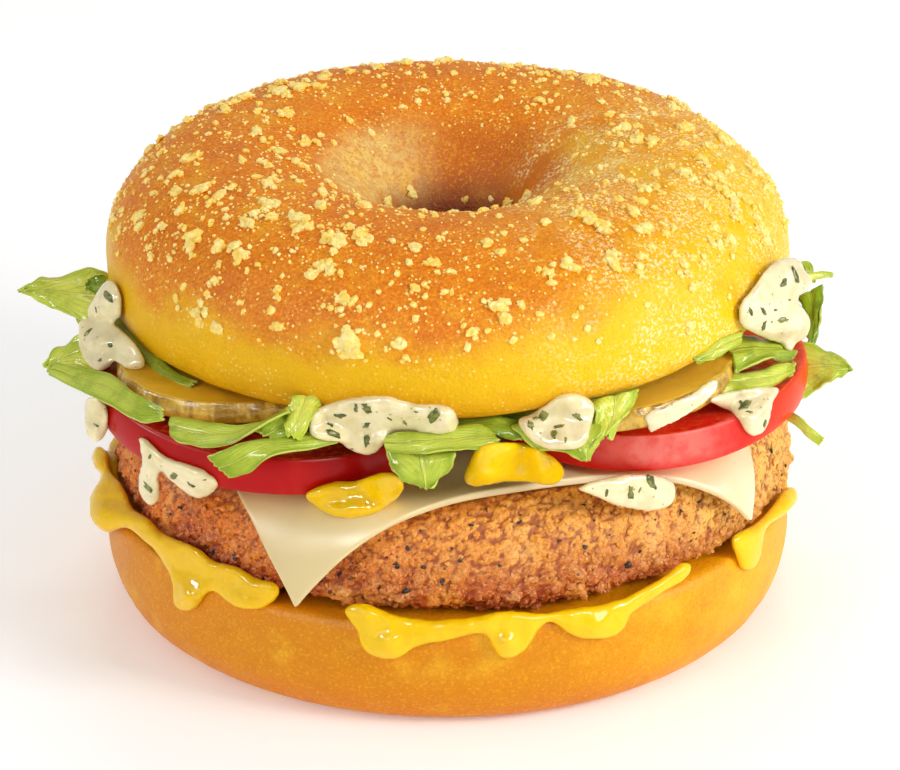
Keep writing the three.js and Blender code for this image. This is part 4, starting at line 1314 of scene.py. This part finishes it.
def make_cheese_shape():
    """A square slice that bends down over the patty, its two front corners drawn a little together."""
    s = CHEESE
    turn = math.radians(s["turn"] - 45)
    offset = around(s["turn"] + 45, 4.2, 0) + around(s["turn"] - 45, 3.2, 0)
    most = math.radians(s["steepest"])
    bm = bmesh.new()
    bmesh.ops.create_grid(bm, x_segments=96, y_segments=96, size=s["side"] / 2)
    for vert in bm.verts:
        a, b = abs(2 * vert.co.x / s["side"]), abs(2 * vert.co.y / s["side"])
        outer = max(a, b, 1e-6)
        inwards = 1 - s["bow"] * outer**2 * (1 - (min(a, b) / outer) ** 2)
        flat = vert.co * inwards
        flat.rotate(Matrix.Rotation(turn, 3, "Z"))
        flat += offset
        reach = max(math.hypot(flat.x, flat.y), 1e-6)
        past = max(0.0, reach - s["shoulder"])
        angle = min(past / s["bend"], most)
        straight = max(0.0, past - s["bend"] * most)
        out = min(reach, s["shoulder"]) + s["bend"] * math.sin(angle) + straight * math.cos(most)
        z = s["middle"] - s["bend"] * (1 - math.cos(angle)) - straight * math.sin(most)
        ripple = smoothstep(36, 50, reach) * 0.7 * noise.noise(Vector((flat.x / 11, flat.y / 11, 3.3)))
        facing = math.atan2(flat.y, flat.x)
        away = math.atan2(math.sin(facing - CHEESE_FRONT), math.cos(facing - CHEESE_FRONT))
        facing -= 0.085 * away * (1 + math.cos(away)) / 2
        vert.co = Vector(((out + ripple) * math.cos(facing), (out + ripple) * math.sin(facing), z + 0.35 * ripple))
    return bm


def thickened(piece, thickness_mm, bevel_mm):
    shell = piece.modifiers.new("thickness", "SOLIDIFY")
    shell.thickness = thickness_mm * MM
    shell.offset = 0
    edge = piece.modifiers.new("soft edge", "BEVEL")
    edge.width = bevel_mm * MM
    edge.segments = 3
    edge.limit_method = "ANGLE"
    edge.angle_limit = math.radians(50)


# Tomato and pickle slices


def make_tomato_shape(centre, radius, lift, bottom, thickness, phase):
    """A slice with its upright skin as one band of faces and the two cut faces as another."""
    top = bottom + thickness
    skin = []
    for i in range(13):
        share = i / 12
        out = radius - TOMATO_BULGE * (2 * share - 1) ** 2
        skin.append((out, bottom + 0.2 + (thickness - 0.4) * share))
    rim = radius - TOMATO_BULGE
    profile = [
        *evened([(1, bottom), (rim - 0.6, bottom)], 1.6),
        (rim - 0.15, bottom + 0.06),
        *skin,
        (rim - 0.15, top - 0.05),
        (rim - 0.6, top),
        *evened([(rim - 1.2, top - 0.35), (1, top - 0.35)], 0.8),
    ]
    bm = spun(profile, 220)
    for face in bm.faces:
        face.material_index = 1 if abs(face.normal.z) > 0.8 else 0
    for vert in bm.verts:
        angle = math.atan2(vert.co.y, vert.co.x)
        reach = math.hypot(vert.co.x, vert.co.y)
        if vert.co.z > top - 0.4:
            flesh = 1 - smoothstep(rim - 1.6, rim - 0.8, reach)
            vert.co.z += flesh * (0.22 * grain(vert.co, 4, 21) + 0.14 * grain(vert.co, 1.2, 22))
        swell = 1 + 0.02 * wave(angle, phase)
        vert.co.x = vert.co.x * swell + centre[0]
        vert.co.y = vert.co.y * swell + centre[1]
        vert.co.z += lift * (max(0.0, abs(vert.co.x) - 10) / 46) ** 2
    return bm


def make_pickle_shape(centre, radius, tilt, lift, phase):
    s = PICKLE
    rim = [(radius - 0.35 + 0.55 * math.sin(math.pi * i / 10), s["thickness"] * i / 10) for i in range(11)]
    profile = [
        *evened([(1, 0.1), (radius - 1.2, 0.1)], 1.6),
        *rim,
        *evened([(radius - 1.0, s["thickness"] - 0.1), (1, s["thickness"] - 0.25)], 0.7),
    ]
    bm = spun(profile, 200)
    for face in bm.faces:
        face.material_index = 0 if abs(face.normal.z) > 0.8 else 1
    bm.normal_update()
    for vert in bm.verts:
        reach = math.hypot(vert.co.x, vert.co.y)
        side = smoothstep(radius - 1.6, radius - 0.4, reach)
        out = 1 + side * (0.012 * grain(vert.co, 2.6, 31) + 0.008 * grain(vert.co, 1.1, 32))
        vert.co.x *= out
        vert.co.y *= out
        if vert.co.z > s["thickness"] * 0.8:
            vert.co.z += 0.14 * grain(vert.co, 3, 33) + 0.06 * grain(vert.co, 0.9, 34)
        swell = 1 + 0.025 * wave(math.atan2(vert.co.y, vert.co.x), phase)
        vert.co.x *= swell
        vert.co.y *= swell
    tipped = Matrix.Translation((*centre, s["bottom"] + lift)) @ Matrix.Rotation(-math.radians(tilt), 4, "Y")
    bmesh.ops.transform(bm, matrix=tipped, verts=bm.verts)
    return bm


# Lettuce: each leaf has two long edges, from its root to its tip, by column, row and y. Then its darkness.
SHOWN_LEAVES = [
    ([(112, 276, 2), (80, 273, 1), (45, 277, -1), (21, 288, -2)],
     [(112, 322, -10), (84, 320, -9), (54, 307, -4), (20, 292, -2)], 0.05),
    ([(106, 276, -6), (96, 276, -6), (86, 281, -7)], [(104, 292, -8), (94, 293, -8), (87, 289, -7)], 0.95),
    ([(100, 328, -16), (76, 337, -17), (56, 350, -18), (46, 364, -19)],
     [(104, 374, -23), (84, 372, -22), (66, 374, -21), (50, 376, -20)], 0.15),
    ([(58, 364, -23), (84, 370, -28), (110, 374, -32), (135, 394, -39), (164, 409, -45)],
     [(50, 376, -24), (82, 391, -32), (112, 407, -39), (138, 421, -45), (163, 419, -46)], 0.45),
    ([(98, 314, -9), (118, 314, -13), (136, 329, -20), (152, 351, -26), (172, 369, -31), (198, 381, -36)],
     [(100, 326, -11), (112, 328, -14), (127, 340, -21), (143, 358, -27), (160, 376, -32), (192, 388, -37)], 0.6),
    ([(170, 416, -45), (205, 422, -49), (235, 427, -51), (268, 419, -51), (290, 407, -50)],
     [(171, 437, -48), (190, 446, -51), (215, 445, -53), (250, 434, -54), (290, 414, -53)], 0.45),
    ([(340, 428, -50), (300, 434, -53), (255, 440, -55), (222, 450, -56), (207, 457, -56)],
     [(338, 443, -53), (300, 450, -56), (272, 457, -57), (248, 473, -57), (229, 478, -57)], 0.6),
    ([(293, 397, -50), (288, 412, -52), (285, 434, -54)], [(321, 397, -50), (316, 415, -53), (299, 441, -55)], 0.0),
    ([(300, 408, -49), (278, 414, -51), (254, 430, -53)], [(304, 430, -51), (290, 438, -54), (278, 444, -55)], 0.6),
    ([(391, 440, -53), (389, 462, -56), (401, 478, -57), (418, 487, -57)],
     [(456, 440, -53), (455, 456, -56), (449, 472, -57), (433, 485, -57)], 0.5),
    ([(384, 438, -53), (402, 432, -54), (440, 430, -54), (480, 427, -54), (498, 438, -55)],
     [(386, 450, -55), (425, 454, -57), (460, 451, -57), (488, 449, -57), (498, 445, -56)], 0.4),
    ([(450, 414, -49), (485, 416, -50), (524, 422, -50)], [(456, 432, -52), (490, 434, -53), (523, 441, -53)], 0.8),
    ([(510, 428, -51), (526, 441, -53), (550, 450, -55), (584, 460, -56)],
     [(600, 402, -49), (604, 420, -51), (600, 442, -54), (588, 458, -56)], 0.35),
    ([(592, 402, -49), (596, 424, -52), (594, 448, -55)], [(638, 391, -46), (629, 413, -49), (611, 434, -53)], 0.1),
    ([(742, 331, -30), (722, 338, -34), (706, 349, -37), (691, 358, -39)],
     [(740, 343, -32), (724, 353, -36), (712, 360, -38), (698, 363, -39)], 0.2),
    ([(722, 338, -26), (750, 334, -24), (772, 342, -22), (792, 352, -21)],
     [(736, 369, -34), (752, 366, -31), (775, 361, -27), (795, 357, -23)], 0.6),
    ([(730, 373, -33), (752, 371, -31), (780, 366, -27), (796, 361, -24)],
     [(710, 398, -38), (742, 393, -36), (770, 389, -32), (789, 377, -27)], 0.12),
    ([(798, 298, -3), (806, 318, -6), (807, 333, -9), (808, 345, -11)],
     [(823, 286, -2), (822, 302, -5), (820, 326, -8), (814, 344, -11)], 0.9),
    ([(798, 262, -2), (804, 270, -3), (809, 281, -4)], [(809, 262, -1), (813, 272, -2), (814, 282, -3)], 0.7),
    ([(750, 300, -15), (785, 283, -8), (812, 273, -4), (832, 273, -2)],
     [(756, 310, -15), (790, 293, -8), (815, 280, -4), (832, 276, -2)], 0.05),
    ([(775, 352, -12), (808, 344, -14), (834, 352, -16), (851, 367, -18)],
     [(780, 402, -22), (812, 392, -21), (834, 382, -20), (850, 371, -18)], 0.25),
    ([(788, 410, -26), (801, 417, -28), (812, 429, -29), (824, 438, -29)],
     [(784, 417, -26), (796, 425, -28), (808, 437, -29), (819, 445, -29)], 0.1),
]
LEAF_THICKNESS = 0.4


def through(points, share):
    """A point on the smooth line through some points."""
    position = share * (len(points) - 1)
    i = min(int(position), len(points) - 2)
    t = position - i
    before, start = points[max(i - 1, 0)], points[i]
    end, after = points[i + 1], points[min(i + 2, len(points) - 1)]
    return through_four(before, start, end, after, t)


def add_leaf(bm, layer, first, second, darkness, seed, ruffle=0.9):
    """A sheet between two long edges, ruffled and ragged more towards its sides and its tip."""
    random_ = random.Random(seed)
    columns, rows = 30, 16
    made = bmesh.ops.create_grid(bm, x_segments=columns, y_segments=rows, size=1)["verts"]
    phase = random_.uniform(0, 6)
    width = ((first[0] - second[0]).length + (first[1] - second[1]).length) / 2
    small = min(1.0, width / 7)
    for vert in made:
        along, across = (vert.co.x + 1) / 2, vert.co.y
        one, two = through(first, along), through(second, along)
        vert[layer] = (along, across, darkness)
        middle = one.lerp(two, (across + 1) / 2)
        ahead = through(first, min(along + 0.03, 1)).lerp(through(second, min(along + 0.03, 1)), (across + 1) / 2)
        behind = through(first, max(along - 0.03, 0)).lerp(through(second, max(along - 0.03, 0)), (across + 1) / 2)
        upright = (ahead - behind).cross(two - one)
        if upright.length > 1e-9:
            upright.normalize()
        if upright.dot(Vector((0, -0.4, 1))) < 0:
            upright = -upright
        edge = abs(across) ** 1.6
        fold = ruffle * small * edge * math.sin(9 * along + phase + 1.3 * across)
        crease = 0.35 * small * noise.noise(Vector((along * 6, across * 2.4, seed)))
        rib = -0.5 * small * math.exp(-((across / 0.16) ** 2)) * (1 - along)
        vert.co = middle + upright * (fold + crease + rib + 0.6 * small * (1 - across**2))
        rough = 0.5 * small * noise.noise(Vector((along * 9, across * 1.5, seed + 7))) * edge
        vert.co += (two - one).normalized() * rough * (1 if across > 0 else -1)
        tip = smoothstep(0.8, 1, along)
        vert.co += (ahead - behind).normalized() * tip * 0.9 * small * noise.noise(Vector((across * 4, seed, 1.5)))


def random_leaf(random_, azimuth, root_z, reach, width, droop):
    """Two edges of a leaf that lies between the layers and comes out at an azimuth."""
    lean = random_.uniform(-18, 18)
    tip_azimuth = azimuth + lean
    stations = []
    for share in (0, 0.35, 0.7, 1):
        out = 40 + (reach - 40) * share
        angle = azimuth + (tip_azimuth - azimuth) * share
        half = width / 2 * (1.0 - 0.55 * share**2)
        z = root_z - droop * share**2
        spread = math.degrees(half / out)
        twist = random_.uniform(-0.8, 0.8)
        stations.append((around(angle + spread, out, z + twist), around(angle - spread, out, z - twist)))
    return [a for a, _ in stations], [b for _, b in stations]


def make_lettuce_shape():
    bm = bmesh.new()
    layer = bm.verts.layers.float_vector.new("leaf")
    for i, (first, second, darkness) in enumerate(SHOWN_LEAVES):
        add_leaf(bm, layer, [at_depth(*p) for p in first], [at_depth(*p) for p in second], darkness, i + 1)
    random_ = random.Random(33)
    seed = 60
    for i in range(34):
        azimuth = 12 + i * 160 / 33 + random_.uniform(-3, 3)
        high = i % 3
        first, second = random_leaf(
            random_, azimuth, 42.5 + 4.2 * high + random_.uniform(-0.5, 1.5), random_.uniform(52, 63), random_.uniform(11, 19),
            random_.uniform(0.5, 5),
        )
        add_leaf(bm, layer, first, second, random_.choice((0.15, 0.3, 0.5, 0.8)), seed + i, 1.2)
    for i in range(20):
        azimuth = 190 + i * 160 / 19 + random_.uniform(-3, 3)
        first, second = random_leaf(
            random_, azimuth, 50.4 + random_.uniform(-0.8, 1.0), random_.uniform(47, 50.5), random_.uniform(10, 15), random_.uniform(0, 2)
        )
        add_leaf(bm, layer, first, second, random_.choice((0.3, 0.5, 0.8)), seed + 50 + i, 0.7)
    return bm


def make_heap_shape():
    """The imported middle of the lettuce, seen only deep between the layers."""
    profile = [(10.5, 46.8), (47.5, 46.8), (48.5, 49.5), (47.0, 52.4), (10.5, 52.4)]
    bm = spun(evened([*profile, profile[0]], 0.9)[:-1], 220)
    layer = bm.verts.layers.float_vector.new("leaf")
    for vert in bm.verts:
        angle = math.atan2(vert.co.y, vert.co.x)
        reach = math.hypot(vert.co.x, vert.co.y)
        side = smoothstep(40, 47, reach)
        layers = math.sin(vert.co.z * 3.4 + 2.2 * math.sin(angle * 7) + 1.4 * math.sin(angle * 17))
        out = 1 + side * (0.022 * layers + 0.03 * grain(vert.co, 5, 41))
        vert.co.x *= out
        vert.co.y *= out
        low = 1 - smoothstep(46.8, 52.4, vert.co.z)
        back = smoothstep(8, 20, vert.co.y)
        vert.co.z += 0.9 * lip_rise(angle) * (1 - low) - 7.2 * low * back
        vert[layer] = (0.9, 0.6 + 0.4 * layers, 0.75)
    return bm


# Putting it together

crust_top = make_crust_top()
crust_bottom = make_crust_bottom()
crumb_finish = make_crumb()
breading = make_breading()
yellow = make_yellow_sauce()
cheese_finish = make_cheese()
tomato_skin = make_tomato_skin()
tomato_flesh = make_tomato_flesh()
pickle_flesh = make_pickle_flesh()
pickle_skin = make_pickle_skin()
herb_cream = make_herb_sauce()
herb = make_herb()
char = make_char()
leaf_finish = make_lettuce()

roll_top = make_bagel_top()
roll_bottom = make_bagel_bottom()
patty = make_patty_shape()
cheese = make_cheese_shape()
tomatoes = {side: make_tomato_shape(**slice_) for side, slice_ in TOMATOES.items()}
pickles = {side: make_pickle_shape(**slice_) for side, slice_ in PICKLES.items()}
leaves = make_lettuce_shape()

food = tree_of(roll_top, roll_bottom, patty, cheese, *tomatoes.values(), *pickles.values(), leaves)
patty_tree = tree_of(patty)
crumbs = make_crumbs(tree_of(roll_top))

finished("roll_top", roll_top, [crust_top], ["bagel_top"])
finished("cheese_crumbs", crumbs, [crumb_finish], smooth=False)
finished("roll_bottom", roll_bottom, [crust_bottom], ["bagel_bottom"])
finished("patty_coat", patty, [breading], ["patty"])
finished("patty_crumbs", make_patty_bits(patty_tree), [breading], smooth=False)
finished("patty_spice", make_spice(patty_tree), [char])

finished("sauce_ring", make_lower_sauce(food), [yellow], ["yellow_sauce"])
for side, pool in DABS.items():
    shape = bmesh.new()
    add_pour(shape, food, *pool)
    finished(f"sauce_dab_{side}", melted(shape, 0.28, 10), [yellow], [f"yellow_dab_{side}"])

sheet = finished("cheese_sheet", cheese, [cheese_finish], ["cheese_slice"])
thickened(sheet, CHEESE["thickness"], 0.4)

for side, shape in tomatoes.items():
    finished(f"tomato_slice_{side}", shape, [tomato_skin, tomato_flesh], [f"tomato_{side}"])
for side, shape in pickles.items():
    finished(f"pickle_slice_{side}", shape, [pickle_flesh, pickle_skin], [f"pickle_{side}"])

random_flecks = random.Random(51)
flecks = bmesh.new()
for name, pools in HERB_SAUCE.items():
    shape = bmesh.new()
    for pool in pools:
        add_pour(shape, food, *pool, deepest=14.0)
    shape = melted(shape, 0.28, 8)
    make_flecks(tree_of(shape), HERB_FLECKS[name], random_flecks, flecks)
    finished(name.replace("herb_sauce", "herb_cream"), shape, [herb_cream], [name])
for name, outline in BACK_HERB_SAUCE.items():
    shape = bmesh.new()
    add_pour(shape, food, unrolled(outline), 2.0, 51.0, line=from_outside)
    finished(name.replace("herb_sauce", "herb_cream"), melted(shape, 0.3, 10), [herb_cream], [name])
film = bmesh.new()
for pool in PICKLE_FILM:
    add_pour(film, food, *pool, rim=5.0, sunk=0.4)
finished("herb_cream_pickle", melted(film, 0.2, 3), [herb_cream])
finished("herb_flecks", flecks, [herb])

leaves = finished("lettuce_leaves", leaves, [leaf_finish], ["lettuce"])
shell = leaves.modifiers.new("thickness", "SOLIDIFY")
shell.thickness = LEAF_THICKNESS * MM
shell.offset = 0
finished("lettuce_heap", make_heap_shape(), [leaf_finish])


# Floor, lights and camera


FLOOR_GLOW = 0.2


def make_stage():
    bm = bmesh.new()
    bmesh.ops.create_grid(bm, x_segments=1, y_segments=1, size=3)
    mesh = bpy.data.meshes.new("floor")
    bm.to_mesh(mesh)
    bm.free()
    floor = bpy.data.objects.new("floor", mesh)
    bpy.context.scene.collection.objects.link(floor)
    material = bpy.data.materials.new("pale floor")
    material.use_nodes = True
    shader = material.node_tree.nodes["Principled BSDF"]
    shader.inputs["Base Color"].default_value = (0.93, 0.93, 0.93, 1)
    shader.inputs["Roughness"].default_value = 0.9
    shader.inputs["Emission Color"].default_value = (1, 1, 1, 1)
    shader.inputs["Emission Strength"].default_value = FLOOR_GLOW
    mesh.materials.append(material)


def add_light(name, place, size, watts, colour=(1, 1, 1)):
    lamp = bpy.data.lights.new(name, "AREA")
    lamp.shape = "RECTANGLE"
    lamp.size, lamp.size_y = size
    lamp.energy = watts
    lamp.color = colour
    light = bpy.data.objects.new(name, lamp)
    light.location = Vector(place)
    light.rotation_mode = "QUATERNION"
    light.rotation_quaternion = (Vector(place) - Vector((0, 0, 0.04))).to_track_quat("Z", "Y")
    bpy.context.scene.collection.objects.link(light)
    return light


# Lights that only show as highlights on what is wet or greasy.
GLEAMS = {
    "gleam, far left": (-0.6, -0.12, 0.32),
    "gleam, left": (-0.25, -0.5, 0.44),
    "gleam, right": (0.3, -0.5, 0.42),
    "gleam, far right": (0.6, -0.12, 0.3),
}


def add_camera():
    lens = bpy.data.cameras.new("camera")
    lens.sensor_width = SENSOR
    lens.lens = FOCAL_PIXELS * SENSOR / PICTURE[0]
    lens.clip_start, lens.clip_end = 0.01, 20
    camera = bpy.data.objects.new("camera", lens)
    aside = (PICTURE[0] / 2 - AXIS_COLUMN) * CAMERA_DISTANCE / FOCAL_PIXELS
    camera.location = (EYE + RIGHT * aside) * MM + AXIS
    camera.rotation_mode = "QUATERNION"
    camera.rotation_quaternion = BACK.to_track_quat("Z", "Y")
    bpy.context.scene.collection.objects.link(camera)
    bpy.context.scene.camera = camera


make_stage()
add_light("key, right", (0.54, -0.31, 0.36), (0.26, 0.26), 2.75, (1, 0.98, 0.95))
add_light("fill, left", (-0.5, -0.45, 0.3), (0.35, 0.35), 1.05, (1, 0.97, 0.93))
add_light("top, behind", (0.0, 0.35, 0.62), (0.4, 0.1), 0.9)
for name, place in GLEAMS.items():
    add_light(name, place, (0.2, 0.1), 2.5).visible_diffuse = False
world = bpy.data.worlds.new("studio")
world.use_nodes = True
world.node_tree.nodes["Background"].inputs["Color"].default_value = (1, 1, 1, 1)
world.node_tree.nodes["Background"].inputs["Strength"].default_value = 0.5
bpy.context.scene.world = world
bpy.context.scene.view_settings.view_transform = "Standard"
add_camera()
